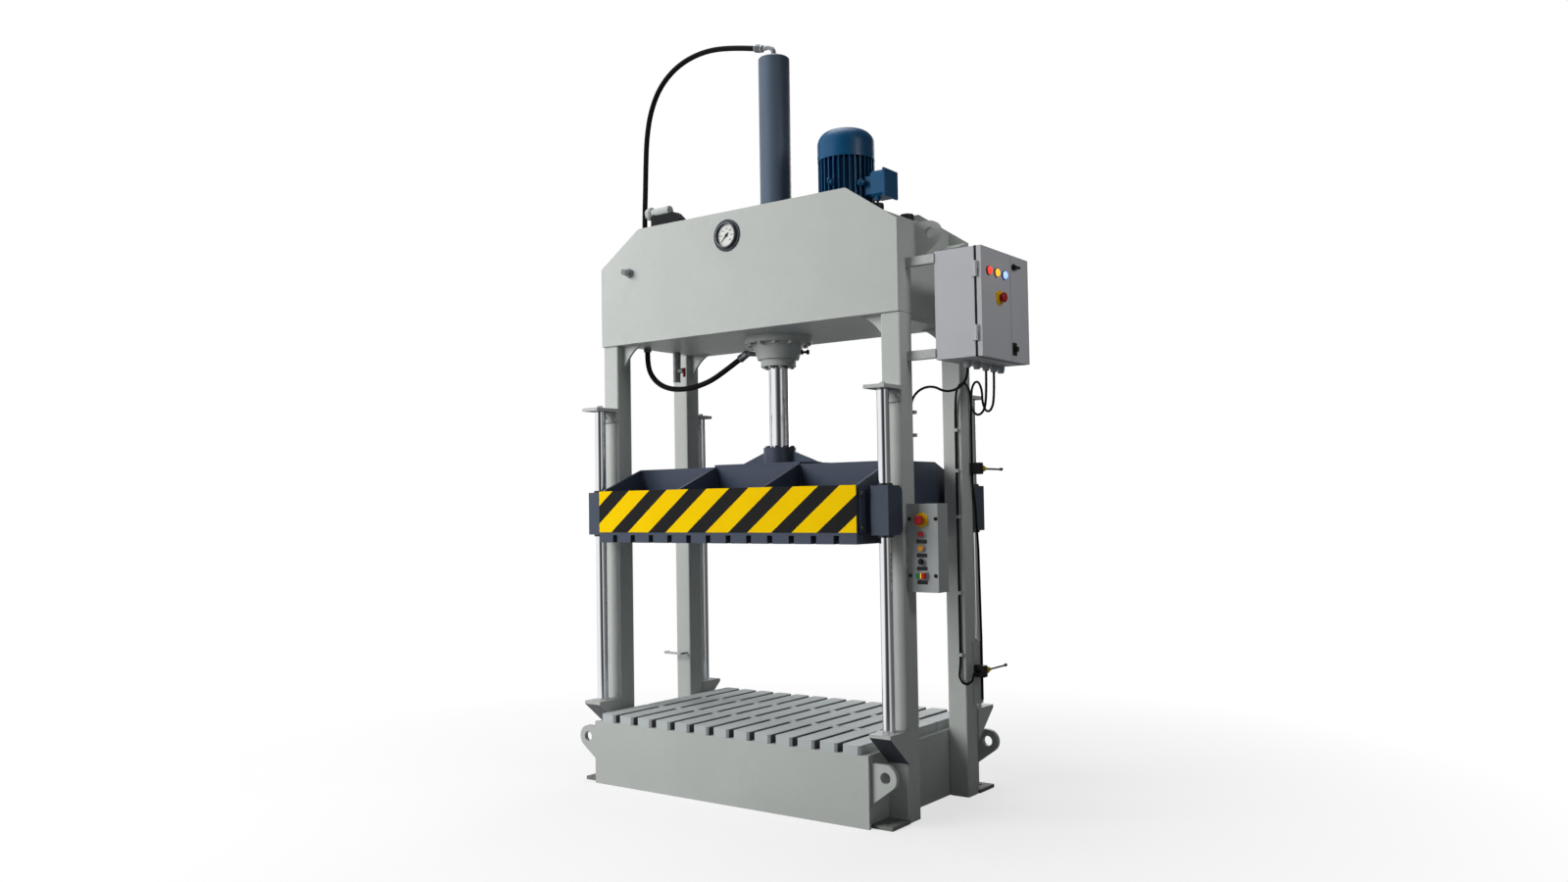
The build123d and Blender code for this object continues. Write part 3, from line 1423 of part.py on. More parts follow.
def build():
    """Every node of the press, by name."""
    head = cylinder_head()
    nodes = {
        "base_box": base_box(),
        "bed_bars": bed_bars() + strap_bridges(),
        "foot_plates": foot_plates(),
        "lifting_lugs": lifting_lugs(),
        "posts": posts(),
        "head_plates": head_plates() + corner_gussets(),
        "head_walls": head_walls(),
        "head_floor": head_floor(),
        "oil_tank": oil_tank(),
        "tank_caps": tank_caps(),
        "hydraulic_pump": hydraulic_pump(),
        "cylinder_barrel": cylinder_barrel(),
        "cylinder_head": head,
        "hex_bolts": hex_bolts(),
        "ram": [ram(), piston()],
        "ram_collar": ram_collar(),
        "platen_sole": platen_sole(),
        "platen_frame": platen_frame(),
        "hazard_panel": hazard_panel(),
        "guide_boxes": guide_boxes(),
        "guide_bushes": guide_bushes(),
        "guide_rods": guide_rods(),
        "rod_brackets": lower_rod_brackets() + upper_rod_brackets(),
        "motor_frame": [motor_frame(), terminal_box()],
        "fan_cover": fan_cover(),
        "motor_rotor": motor_rotor(),
        "valve_block": valve_block(),
        "drain_lever": drain_lever(),
        "hose_fittings": hose_fittings(head),
        "gauge_case": gauge_case(),
        "gauge_pointer": gauge_pointer(),
        "cabinet_body": cabinet_body(),
        "left_door": left_door(),
        "right_door": right_door(),
        "switchgear": switchgear(),
        "pilot_lamps": pilot_lamps(),
        "door_stop_collar": on_door(stop_collar(), cab_stop_y, cab_stop_z),
        "door_stop_button": on_door(stop_button(), cab_stop_y, cab_stop_z),
        "upper_latch": latch(latch_top_z, True),
        "lower_latch": latch(latch_low_z, False),
        "cable_glands": cable_glands(),
        "post_fittings": post_fittings() + switch_strips(),
        "control_box": [control_box(), on_box(double_base(), double_z)],
        "box_stop_collar": on_box(stop_collar(), box_stop_z),
        "box_stop_button": on_box(stop_button(), box_stop_z),
        "red_button": on_box(push_cap(), red_z),
        "amber_button": on_box(push_cap(), amber_z),
        "selector_knob": on_box(selector_knob(), selector_z),
        "green_push": on_box(double_push(-1), double_z),
        "red_push": on_box(double_push(1), double_z),
        "limit_switches": limit_switches(),
        "upper_wand": wand(switch_z[0]),
        "lower_wand": wand(switch_z[1]),
        "clipped_leads": clipped_leads(),
        "top_hose": cord("top_hose", top_hose_route, hose_r),
        "lower_hose": cord("lower_hose", lower_hose_route, hose_r),
        "motor_cable": cord("motor_cable", motor_cable_route(), motor_cable_r),
        "cabinet_cable_a": cord("cabinet_cable_a", cabinet_cable_a_route, loop_cable_r),
        "cabinet_cable_b": cord("cabinet_cable_b", cabinet_cable_b_route, loop_cable_r),
        "cabinet_cable_c": cord("cabinet_cable_c", cabinet_cable_c_route, loop_cable_r),
    }
    return nodes


os.makedirs("parts", exist_ok=True)
for name, shape in build().items():
    solids = shape if isinstance(shape, list) else [shape]
    whole = Compound(children=[solid for piece in solids for solid in piece.solids()])
    export_step(whole, f"parts/{name}.step")
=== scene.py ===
import math

import bmesh
import bpy
from mathutils import Matrix, Vector


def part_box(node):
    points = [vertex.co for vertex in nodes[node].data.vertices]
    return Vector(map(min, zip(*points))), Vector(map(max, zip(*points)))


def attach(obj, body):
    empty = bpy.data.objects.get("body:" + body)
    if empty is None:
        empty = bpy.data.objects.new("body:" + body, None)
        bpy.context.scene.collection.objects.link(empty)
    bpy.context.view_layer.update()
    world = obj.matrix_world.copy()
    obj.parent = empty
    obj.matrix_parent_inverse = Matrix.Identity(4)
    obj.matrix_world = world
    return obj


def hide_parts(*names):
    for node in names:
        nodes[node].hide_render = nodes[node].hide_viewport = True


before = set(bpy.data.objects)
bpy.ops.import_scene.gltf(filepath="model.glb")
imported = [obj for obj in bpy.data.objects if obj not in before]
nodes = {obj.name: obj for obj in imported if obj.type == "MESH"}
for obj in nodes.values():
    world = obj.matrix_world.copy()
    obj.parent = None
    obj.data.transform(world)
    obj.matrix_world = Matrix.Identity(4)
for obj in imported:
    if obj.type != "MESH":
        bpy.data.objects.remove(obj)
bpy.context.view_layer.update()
scene = bpy.context.scene
scene.view_settings.view_transform = "Standard"


# Materials


def linear(red, green, blue):
    """A colour written in screen values from 0 to 255, as the shader wants it."""
    def one(value):
        share = value / 255
        return share / 12.92 if share <= 0.04045 else ((share + 0.055) / 1.055) ** 2.4
    return (one(red), one(green), one(blue), 1.0)


def shade(colour, factor):
    """The same colour, lighter or darker."""
    return tuple(min(1.0, c * factor) for c in colour[:3]) + (1.0,)


class Shader:
    """A material's node tree, with short calls for the nodes used here."""

    def __init__(self, name):
        self.material = bpy.data.materials.new(name)
        self.material.use_nodes = True
        self.tree = self.material.node_tree
        self.tree.nodes.clear()
        self.surface = self.add("ShaderNodeBsdfPrincipled")
        self.output = self.add("ShaderNodeOutputMaterial")
        self.tree.links.new(self.surface.outputs[0], self.output.inputs[0])
        self.place = self.add("ShaderNodeTexCoord").outputs["Object"]

    def add(self, kind, **settings):
        node = self.tree.nodes.new(kind)
        for key, value in settings.items():
            setattr(node, key, value)
        return node

    def put(self, socket, value):
        if isinstance(value, bpy.types.NodeSocket):
            self.tree.links.new(value, socket)
        else:
            socket.default_value = value

    def set(self, name, value):
        self.put(self.surface.inputs[name], value)

    def math(self, operation, a, b=0.0):
        node = self.add("ShaderNodeMath", operation=operation)
        self.put(node.inputs[0], a)
        self.put(node.inputs[1], b)
        return node.outputs[0]

    def noise(self, scale, detail, rough=0.55, stretch=None, place=None):
        node = self.add("ShaderNodeTexNoise")
        node.inputs["Scale"].default_value = scale
        node.inputs["Detail"].default_value = detail
        node.inputs["Roughness"].default_value = rough
        where = place or self.place
        if stretch:
            mapping = self.add("ShaderNodeMapping")
            mapping.inputs["Scale"].default_value = stretch
            self.put(mapping.inputs["Vector"], where)
            where = mapping.outputs[0]
        self.put(node.inputs["Vector"], where)
        return node.outputs[0]

    def ramp(self, value, low, high, out_low=0.0, out_high=1.0):
        node = self.add("ShaderNodeMapRange")
        for socket, number in zip(node.inputs[1:5], (low, high, out_low, out_high)):
            socket.default_value = number
        self.put(node.inputs[0], value)
        return node.outputs[0]

    def mix(self, share, a, b):
        node = self.add("ShaderNodeMix", data_type="RGBA")
        self.put(node.inputs[0], share)
        self.put(node.inputs[6], a)
        self.put(node.inputs[7], b)
        return node.outputs[2]

    def parts(self, vector):
        """The three parts of a vector."""
        node = self.add("ShaderNodeSeparateXYZ")
        self.put(node.inputs[0], vector)
        return node.outputs

    def axes(self):
        """Where on the piece a point lies, in metres."""
        return self.parts(self.place)

    def facing(self):
        """Which way the surface looks."""
        return self.parts(self.add("ShaderNodeNewGeometry").outputs["Normal"])

    def bump(self, height, depth, strength, edge=0.0):
        node = self.add("ShaderNodeBump")
        node.inputs["Strength"].default_value = strength
        node.inputs["Distance"].default_value = depth
        self.put(node.inputs["Height"], height)
        if edge:
            rounding = self.add("ShaderNodeBevel", samples=4)
            rounding.inputs["Radius"].default_value = edge
            self.put(node.inputs["Normal"], rounding.outputs[0])
        self.set("Normal", node.outputs[0])


def paint(name, colour, rough=0.42, vary=0.06, grime=0.12, edge=0.0025, peel=0.00012, gloss=0.35,
          under=None):
    """Brushed or sprayed enamel: cloudy tone, fine mottling, faint grime and a slight orange peel; where a
    colour is given as under, painted shade on the faces that look downwards.
    """
    s = Shader(name)
    cloud = s.ramp(s.noise(1.7, 5.0), 0.3, 0.7)
    mottle = s.noise(38.0, 4.0)
    tone = s.mix(cloud, shade(colour, 1 - vary), shade(colour, 1 + vary))
    tone = s.mix(s.ramp(mottle, 0.35, 0.75, 0.0, 0.35), tone, shade(colour, 1 - vary))
    dirt = s.ramp(s.noise(5.5, 8.0, 0.7), 0.56, 0.78, 0.0, grime)
    tone = s.mix(dirt, tone, shade(colour, 0.55))
    # Painted shade: faces that look downwards turn to the colour given as under
    if under:
        tone = s.mix(s.ramp(s.facing()[2], -0.25, -0.4), tone, under)
    s.set("Base Color", tone)
    s.set("Roughness", s.ramp(mottle, 0.2, 0.8, rough - 0.07, rough + 0.09))
    s.set("Specular IOR Level", gloss)
    s.bump(s.noise(520.0, 2.0), peel, 1.0, edge)
    return s.material


def metal(name, colour, rough):
    """Bare or plated metal with fine machining lines."""
    s = Shader(name)
    lines = s.noise(26.0, 5.0, 0.6, (1.0, 1.0, 60.0))
    cloud = s.noise(6.0, 5.0)
    tone = s.mix(s.ramp(lines, 0.25, 0.75), shade(colour, 0.88), colour)
    s.set("Base Color", s.mix(s.ramp(cloud, 0.5, 0.85, 0.0, 0.4), tone, shade(colour, 0.7)))
    s.set("Roughness", s.ramp(lines, 0.2, 0.8, rough - 0.05, rough + 0.1))
    s.set("Metallic", 1.0)
    s.bump(lines, 0.00005, 0.6, 0.0012)
    return s.material


def ground_chrome(name, colour):
    """Hard chrome, ground round and polished: a mirror with a faint haze and the ghost of the grinding."""
    s = Shader(name)
    haze = s.ramp(s.noise(7.0, 5.0, 0.6, (1.0, 1.0, 0.4)), 0.3, 0.75)
    rings = s.noise(30.0, 3.0, 0.5, (0.2, 0.2, 12.0))
    s.set("Base Color", s.mix(haze, colour, shade(colour, 0.92)))
    s.set("Roughness", s.ramp(haze, 0.0, 1.0, 0.05, 0.1))
    s.set("Metallic", 1.0)
    s.bump(rings, 0.000002, 0.2)
    return s.material


def valve_finish(name):
    """Valve block: black castings, a pale coil on top and a plated drain pipe below."""
    s = Shader(name)
    x, _, z = s.axes()
    cap_x, cap_z, block_top, pipe_top = -0.6402, 2.6, 2.6375, 2.1
    cap = s.math("MULTIPLY", s.math("LESS_THAN", x, cap_x), s.math("GREATER_THAN", z, cap_z))
    coil = s.math("MAXIMUM", cap, s.math("GREATER_THAN", z, block_top))
    pipe = s.math("LESS_THAN", z, pipe_top)
    grain = s.noise(45.0, 6.0, 0.65)
    worn = s.ramp(grain, 0.3, 0.8)
    tone = s.mix(coil, s.mix(worn, linear(16, 17, 20), linear(28, 29, 33)),
                 s.mix(worn, linear(196, 202, 200), linear(168, 174, 172)))
    tone = s.mix(pipe, tone, s.mix(worn, linear(150, 153, 155), linear(112, 115, 118)))
    s.set("Base Color", tone)
    s.set("Metallic", s.ramp(pipe, 0.0, 1.0, 0.0, 0.8))
    s.set("Roughness", s.ramp(grain, 0.2, 0.8, 0.36, 0.5))
    s.set("Specular IOR Level", 0.2)
    s.bump(s.noise(420.0, 3.0), 0.0003, 0.7, 0.0015)
    return s.material


def plastic(name, colour, rough, glow=0.0):
    """Moulded plastic with a fine spark-eroded grain."""
    s = Shader(name)
    grain = s.noise(900.0, 2.0)
    cloud = s.noise(14.0, 4.0)
    tone = s.mix(s.ramp(cloud, 0.35, 0.75), colour, shade(colour, 0.82))
    s.set("Base Color", tone)
    s.set("Roughness", s.ramp(cloud, 0.2, 0.8, rough - 0.06, rough + 0.1))
    s.set("Specular IOR Level", 0.3)
    if glow:
        s.set("Emission Color", tone)
        s.set("Emission Strength", glow)
    s.bump(grain, 0.00006, 0.7, 0.001)
    return s.material


def rubber(name, colour):
    """Hose and cable cover, with the wrap of its cloth pressed into it."""
    s = Shader(name)
    wrap = s.noise(340.0, 3.0, 0.6)
    scuff = s.ramp(s.noise(22.0, 6.0, 0.7), 0.55, 0.8)
    s.set("Base Color", s.mix(scuff, colour, shade(colour, 1.6)))
    s.set("Roughness", s.ramp(wrap, 0.2, 0.8, 0.5, 0.65))
    s.set("Specular IOR Level", 0.15)
    s.bump(wrap, 0.0001, 0.4)
    return s.material


def bed_paint(name, colour):
    """Enamel on the bed bars, rubbed brighter along the tops by bales, with painted shade darkening the
    walls down in the grooves and seams.
    """
    s = Shader(name)
    x, y, z = s.axes()
    face_x, face_y, _ = s.facing()
    inner_x, inner_y = 0.66, 0.4
    rubbed_low, rubbed_high = 0.311, 0.3135
    groove_top, groove_deep = 0.3125, 0.309
    scratch = s.ramp(s.noise(9.0, 8.0, 0.75, (1.0, 9.0, 1.0)), 0.58, 0.7)
    cloud = s.ramp(s.noise(2.4, 5.0), 0.3, 0.7)
    tone = s.mix(cloud, shade(colour, 0.93), shade(colour, 1.06))
    rubbed = s.math("MULTIPLY", scratch, s.ramp(z, rubbed_low, rubbed_high))
    tone = s.mix(s.math("MULTIPLY", rubbed, 0.45), tone, linear(176, 178, 176))
    # Painted shade: walls of the grooves and seams, facing sideways or to front and back, turn near black
    # towards the floor of the grooves
    sides = s.math("MULTIPLY", s.ramp(s.math("ABSOLUTE", face_x), 0.75, 0.85),
                   s.math("LESS_THAN", s.math("ABSOLUTE", x), inner_x))
    ends = s.math("MULTIPLY", s.ramp(s.math("ABSOLUTE", face_y), 0.75, 0.85),
                  s.math("LESS_THAN", s.math("ABSOLUTE", y), inner_y))
    depth = s.ramp(z, groove_top, groove_deep, 0.0, 0.85)
    groove_painted_shade = s.math("MULTIPLY", s.math("MAXIMUM", sides, ends), depth)
    s.set("Base Color", s.mix(groove_painted_shade, tone, linear(44, 47, 48)))
    s.set("Roughness", s.ramp(scratch, 0.0, 1.0, 0.52, 0.4))
    s.set("Specular IOR Level", 0.3)
    s.bump(s.noise(260.0, 3.0), 0.00015, 1.0, 0.002)
    return s.material


def hazard(name):
    """Slanting yellow and black stripes, with scuffed paint."""
    s = Shader(name)
    x, _, z = s.axes()
    slant, pitch, start, yellow_share = 1.265, 0.2254, 40.6696, 0.548
    across = s.math("SUBTRACT", x, s.math("MULTIPLY", z, slant))
    turn = s.math("FRACT", s.math("ADD", s.math("DIVIDE", across, pitch), start))
    dark = s.math("GREATER_THAN", turn, yellow_share)
    cloud = s.ramp(s.noise(4.0, 6.0), 0.3, 0.75)
    yellow = s.mix(cloud, linear(255, 214, 0), linear(252, 202, 0))
    black = s.mix(cloud, linear(22, 22, 23), linear(32, 32, 32))
    tone = s.mix(dark, yellow, black)
    scuff = s.ramp(s.noise(16.0, 9.0, 0.75, (1.0, 1.0, 3.0)), 0.68, 0.76, 0.0, 0.18)
    s.set("Base Color", s.mix(scuff, tone, linear(150, 140, 110)))
    s.set("Roughness", s.ramp(cloud, 0.0, 1.0, 0.42, 0.55))
    s.set("Specular IOR Level", 0.12)
    s.bump(s.noise(480.0, 2.0), 0.0001, 1.0, 0.001)
    return s.material


def banded(name, axis, limit, low, high):
    """Two finishes on one piece: one colour below a limit along an axis, another above it."""
    s = Shader(name)
    over = s.math("GREATER_THAN", s.axes()[axis], limit)
    grain = s.noise(60.0, 4.0)
    first = s.mix(s.ramp(grain, 0.3, 0.8), low[0], shade(low[0], 0.85))
    second = s.mix(s.ramp(grain, 0.3, 0.8), high[0], shade(high[0], 0.85))
    s.set("Base Color", s.mix(over, first, second))
    s.set("Metallic", s.ramp(over, 0.0, 1.0, low[1], high[1]))
    s.set("Roughness", s.ramp(over, 0.0, 1.0, low[2], high[2]))
    s.bump(s.noise(700.0, 2.0), 0.00006, 0.7, 0.0008)
    return s.material


def lamps(name):
    """Pilot lamps in a row: red, amber and a bluish white, in dark bezels."""
    s = Shader(name)
    x, y, _ = s.axes()
    amber_y, white_y, lens_x = -0.145, -0.077, 1.1475
    amber = s.math("GREATER_THAN", y, amber_y)
    white = s.math("GREATER_THAN", y, white_y)
    tone = s.mix(amber, linear(245, 40, 12), linear(255, 180, 8))
    tone = s.mix(white, tone, linear(130, 165, 255))
    lens = s.math("GREATER_THAN", x, lens_x)
    facets = s.noise(240.0, 2.0)
    tone = s.mix(s.ramp(facets, 0.4, 0.7, 0.0, 0.12), tone, linear(255, 240, 220))
    s.set("Base Color", s.mix(lens, linear(40, 41, 43), tone))
    s.set("Emission Color", tone)
    s.set("Emission Strength", s.math("MULTIPLY", lens, s.ramp(white, 0.0, 1.0, 1.1, 1.6)))
    s.set("Roughness", s.ramp(facets, 0.2, 0.8, 0.18, 0.3))
    s.bump(facets, 0.0002, 0.6, 0.001)
    return s.material


GREY = linear(190, 194, 190)
SLATE = linear(60, 69, 86)
# Where one finish of a piece ends and the next begins, in metres along an axis
X_AXIS, Y_AXIS = 0, 1
HOOK_END, BOOT_END = -0.5, 0.3546
frame_paint = paint("frame_paint", GREY)
# Brackets: painted shade in a dark slate grey on the faces that look downwards
bracket_paint_painted_shade = paint("bracket_paint_painted_shade", GREY, under=linear(66, 70, 80))
# Feet darker than the frame paint and heavily grimed: painted shade for the shadow the press casts on them,
# over a dirt pattern
foot_paint_painted_shade = paint("foot_paint_painted_shade", linear(128, 130, 126), 0.55, 0.1, 0.4, gloss=0.2)
tank_paint = paint("tank_paint", shade(GREY, 0.97))
bed = bed_paint("bed_paint", linear(190, 196, 196))
platen_paint = paint("platen_paint", SLATE, 0.34, 0.08, 0.2, gloss=0.45)
barrel_paint = paint("barrel_paint", linear(84, 98, 114), 0.36, 0.05, 0.1)
motor_paint = paint("motor_paint", linear(14, 76, 116), 0.34, 0.06, 0.2, gloss=0.3)
cabinet_paint = paint("cabinet_paint", linear(190, 191, 195), 0.5, 0.03, 0.05, 0.002, 0.0003)
box_paint = paint("box_paint", linear(166, 170, 170), 0.48, 0.03, 0.06, 0.002, 0.0003)
fitting_paint = banded("fitting_paint", X_AXIS, HOOK_END, (linear(186, 188, 190), 1.0, 0.32),
                       (linear(184, 188, 185), 0.0, 0.45))
gland_grey = plastic("gland_grey", linear(168, 172, 174), 0.42)
gauge_grey = plastic("gauge_grey", linear(62, 66, 72), 0.42)
chrome = ground_chrome("chrome", linear(238, 240, 244))
steel = metal("steel", linear(186, 188, 190), 0.32)
fitting_steel = metal("fitting_steel", linear(150, 153, 156), 0.4)
bezel_metal = metal("bezel_metal", linear(150, 153, 156), 0.5)
dark_steel = metal("dark_steel", linear(92, 94, 97), 0.42)
cast = paint("cast_iron", linear(40, 41, 43), 0.5, 0.2, 0.25, 0.0015, 0.0006)
black = plastic("black_plastic", linear(26, 26, 28), 0.45)
legend = plastic("legend_black", linear(20, 20, 22), 0.35)
red = plastic("red_plastic", linear(178, 18, 18), 0.28)
# A faint glow on the amber button: painted light that brightens its colour
amber = plastic("amber_plastic", linear(222, 144, 12), 0.25, 0.06)
green = plastic("green_plastic", linear(16, 128, 62), 0.28)
yellow = plastic("yellow_plastic", linear(250, 196, 0), 0.32)
pale = plastic("pale_plastic", linear(190, 194, 190), 0.4)
boot_yellow = plastic("boot_yellow", linear(206, 186, 40), 0.45)
lit = plastic("lit_window", linear(255, 206, 60), 0.25, 0.8)
dial_white = plastic("dial_white", linear(236, 237, 232), 0.4)
hose_cover = rubber("hose_cover", linear(14, 14, 16))
cable_cover = rubber("cable_cover", linear(10, 10, 11))
gasket_rubber = rubber("gasket_rubber", linear(30, 30, 32))
painted_weld = paint("painted_weld", shade(GREY, 0.96), 0.45, 0.05, 0.2, 0.0, 0.0006)
slate_weld = paint("slate_weld", shade(SLATE, 1.05), 0.45, 0.08, 0.2, 0.0, 0.0006)
joint_line = plastic("joint_line", linear(58, 60, 60), 0.7)
wand_finish = banded("wand_finish", Y_AXIS, BOOT_END, (linear(206, 186, 40), 0.0, 0.45),
                     (linear(190, 192, 194), 1.0, 0.3))

FINISHES = {
    frame_paint: ["base_box", "lifting_lugs", "posts", "head_plates", "head_walls", "head_floor",
                  "cylinder_head", "hex_bolts"],
    foot_paint_painted_shade: ["foot_plates"],
    bracket_paint_painted_shade: ["rod_brackets"],
    tank_paint: ["oil_tank"],
    bed: ["bed_bars"],
    platen_paint: ["platen_sole", "platen_frame", "guide_boxes", "ram_collar"],
    barrel_paint: ["cylinder_barrel"],
    motor_paint: ["motor_frame", "fan_cover"],
    cabinet_paint: ["cabinet_body", "left_door", "right_door"],
    box_paint: ["control_box"],
    fitting_paint: ["post_fittings"],
    gland_grey: ["cable_glands"],
    gauge_grey: ["gauge_case"],
    chrome: ["ram", "guide_rods"],
    steel: ["motor_rotor"],
    fitting_steel: ["hose_fittings"],
    dark_steel: ["guide_bushes"],
    cast: ["hydraulic_pump"],
    valve_finish("valve_finish"): ["valve_block"],
    black: ["tank_caps", "selector_knob", "limit_switches", "switchgear", "upper_latch", "lower_latch"],
    cable_cover: ["clipped_leads"],
    red: ["drain_lever", "door_stop_button", "box_stop_button", "red_button", "red_push"],
    legend: ["gauge_pointer"],
    yellow: ["door_stop_collar", "box_stop_collar"],
    amber: ["amber_button"],
    green: ["green_push"],
    wand_finish: ["upper_wand", "lower_wand"],
    hazard("hazard_stripes"): ["hazard_panel"],
    lamps("pilot_lamps"): ["pilot_lamps"],
}
for finish, names in FINISHES.items():
    for name in names:
        mesh = nodes[name].data
        mesh.materials.clear()
        mesh.materials.append(finish)


# Pieces


def mesh_from(build):
    """A mesh from a function that fills a bmesh."""
    work = bmesh.new()
    build(work)
    mesh = bpy.data.meshes.new("mesh")
    bmesh.ops.recalc_face_normals(work, faces=work.faces)
    work.to_mesh(mesh)
    work.free()
    return mesh


def turn_to(direction):
    """The turn that takes +Z to a direction."""
    return Vector((0, 0, 1)).rotation_difference(Vector(direction)).to_matrix().to_4x4()


def lathe(work, profile, place, direction, steps, caps=True):
    """Adds a turned shape: pairs of radius and height, both in metres, along a direction."""
    matrix = Matrix.Translation(place) @ turn_to(direction)
    rings = []
    for radius, height in profile:
        if radius < 1e-6:
            rings.append([work.verts.new(matrix @ Vector((0, 0, height)))])
            continue
        angles = [2 * math.pi * i / steps for i in range(steps)]
        rings.append([work.verts.new(matrix @ Vector((radius * math.cos(a), radius * math.sin(a), height)))
                      for a in angles])
    for low, high in zip(rings, rings[1:]):
        for i in range(steps):
            k = i + 1
            corners = [low[i % len(low)], low[k % len(low)], high[k % len(high)], high[i % len(high)]]
            work.faces.new(list(dict.fromkeys(corners)))
    for end in (rings[0], rings[-1]) if caps else ():
        if len(end) > 2:
            work.faces.new(end)


def disc(radius, height):
    """Outline of a plain disc, for the lathe."""
    return [(0, 0), (radius, 0), (radius, height), (0, height)]


def knob(radius, height, top, shoulder):
    """Outline of a head with a bevelled edge, for the lathe."""
    return [(0, 0), (radius, 0), (radius, shoulder), (top, height), (0, height)]


def socket_head(radius, height, hole, depth):
    """Outline of a round head with a socket down to a depth, for the lathe."""
    return [(0, 0), (radius, 0), (radius, height), (hole, height), (hole, depth), (0, depth)]


def slab(work, low, high, bevel=0.0):
    """Adds a box between two corners, with bevelled edges where asked."""
    made = bmesh.ops.create_cube(work, size=1.0)
    low, high = Vector(low), Vector(high)
    for vertex in made["verts"]:
        vertex.co = (low + high) / 2 + Vector([c * (b - a) for c, a, b in zip(vertex.co, low, high)])
    if bevel:
        edges = list(dict.fromkeys(edge for vertex in made["verts"] for edge in vertex.link_edges))
        bmesh.ops.bevel(work, geom=edges, offset=bevel, segments=2, affect="EDGES")


def bolt(work, place, direction, flats, height):
    """Adds a chamfered hexagon head on a washer."""
    radius = flats / 2 / math.cos(math.pi / 6)
    thick, seat = 0.0018, 0.0017
    lathe(work, disc(flats * 0.78, thick), place, direction, 20)
    base = Vector(place) + Vector(direction) * seat
    lathe(work, knob(radius, height, radius * 0.86, height * 0.8), base, direction, 6)


def screw(work, place, direction, radius):
    """Adds a domed screw head with a recess in the middle."""
    lathe(work, [(0, 0), (radius, 0), (radius * 0.95, radius * 0.35), (radius * 0.6, radius * 0.55),
                 (radius * 0.32, radius * 0.58), (radius * 0.3, radius * 0.25), (0, radius * 0.25)],
          place, direction, 16)


def bead(work, start, end, radius):
    """Adds a weld bead: a chain of overlapping ripples from start to end."""
    ripple = 0.012
    run = end - start
    count = max(3, int(run.length / ripple))
    profile = [(0, 0)]
    for i in range(count):
        z = run.length * (i + 0.5) / count
        profile.append((radius * 0.86, z - run.length * 0.42 / count))
        profile.append((radius, z))
    profile.append((0, run.length))
    lathe(work, profile, start, run.normalized(), 8)


def cord(name, node, route, radius, finish):
    """A free hose or cable along its route, given in millimetres."""
    curve = bpy.data.curves.new(name, "CURVE")
    curve.dimensions = "3D"
    curve.bevel_depth = radius
    curve.bevel_resolution = 5
    curve.use_fill_caps = True
    spline = curve.splines.new("NURBS")
    spline.points.add(len(route) - 1)
    for point, place in zip(spline.points, route):
        point.co = [c / 1000 for c in place] + [1.0]
    spline.order_u = 3
    spline.use_endpoint_u = True
    spline.resolution_u = 10
    made = bpy.data.objects.new(name, curve)
    scene.collection.objects.link(made)
    curve.materials.append(finish)
    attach(made, "frame")
    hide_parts(node)


HOSE_RADIUS, CABLE_RADIUS = 0.0125, 0.005

cord("top_hose_line", "top_hose", [
    (-102.5, -5.72, 3363.53), (-232, -24, 3394), (-368, -54, 3400), (-498, -84, 3360), (-602, -102, 3275),
    (-660, -111, 3160), (-684, -116, 3030), (-690, -118, 2895), (-694, -119, 2765), (-700, -119, 2645),
    (-700, -119, 2587)], HOSE_RADIUS, hose_cover)
cord("lower_hose_line", "lower_hose", [
    (-664, -150, 1985), (-664, -150, 1922), (-640, -147.1, 1866), (-592, -141.3, 1822), (-520, -132.5, 1797),
    (-425, -121, 1796), (-335, -110, 1816), (-261.98, -101.28, 1848.61), (-153.83, -88.3, 1913.5)],
    HOSE_RADIUS, hose_cover)
cord("motor_cable_line", "motor_cable", [
    (560.03, -30, 2538), (560.03, -30, 2512), (550.03, -45, 2473), (550.03, -45, 2447)],
    CABLE_RADIUS, cable_cover)
cord("cabinet_cable_a_line", "cabinet_cable_a", [
    (1030, 10, 1776), (1030, 10, 1648.4), (994.8, 37, 1604.4), (945.2, 75, 1604.4), (910, 102, 1648.4),
    (910, 102, 1704), (874.8, 129, 1748), (825.2, 167, 1748), (790, 194, 1704), (790, 194, 1571)],
    CABLE_RADIUS, cable_cover)
cord("cabinet_cable_b_line", "cabinet_cable_b", [
    (1030, 80, 1776), (1030, 80, 1663.9), (999.6, 108.8, 1622), (956.5, 149.7, 1622), (926, 178.5, 1663.9),
    (926, 178.5, 1716), (895.6, 207.3, 1758), (852.4, 248.2, 1758), (822, 277, 1716), (822, 277, 1578)],
    CABLE_RADIUS, cable_cover)
cord("cabinet_cable_c_line", "cabinet_cable_c", [
    (1030, -150, 1776), (1030, -150, 1746), (1009, -154, 1709), (973, -160, 1688), (931, -168, 1688),
    (895, -175, 1709), (853, -182, 1709), (817, -189, 1688), (796, -193, 1651), (796, -193, 1620)],
    CABLE_RADIUS, cable_cover)


# Dressing


def at(x, y, z):
    """A place given in millimetres."""
    return Vector((x, y, z)) / 1000


def group(name, finish, body, build, angle=0.6):
    """One piece that holds several small parts of the same finish, riding on a body."""
    mesh = mesh_from(build)
    made = bpy.data.objects.new(name, mesh)
    scene.collection.objects.link(made)
    mesh.materials.append(finish)
    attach(made, body)
    for face in mesh.polygons:
        face.use_smooth = True
    mesh.set_sharp_from_angle(angle=angle)


def ring(work, place, direction, inner, outer, height, steps):
    """Adds a flat ring with softened edges."""
    soft = min(height, outer - inner) * 0.3
    outline = [(inner, 0), (outer, 0), (outer, height - soft), (outer - soft, height),
               (inner + soft, height), (inner, height - soft), (inner, 0)]
    lathe(work, outline, place, direction, steps, caps=False)


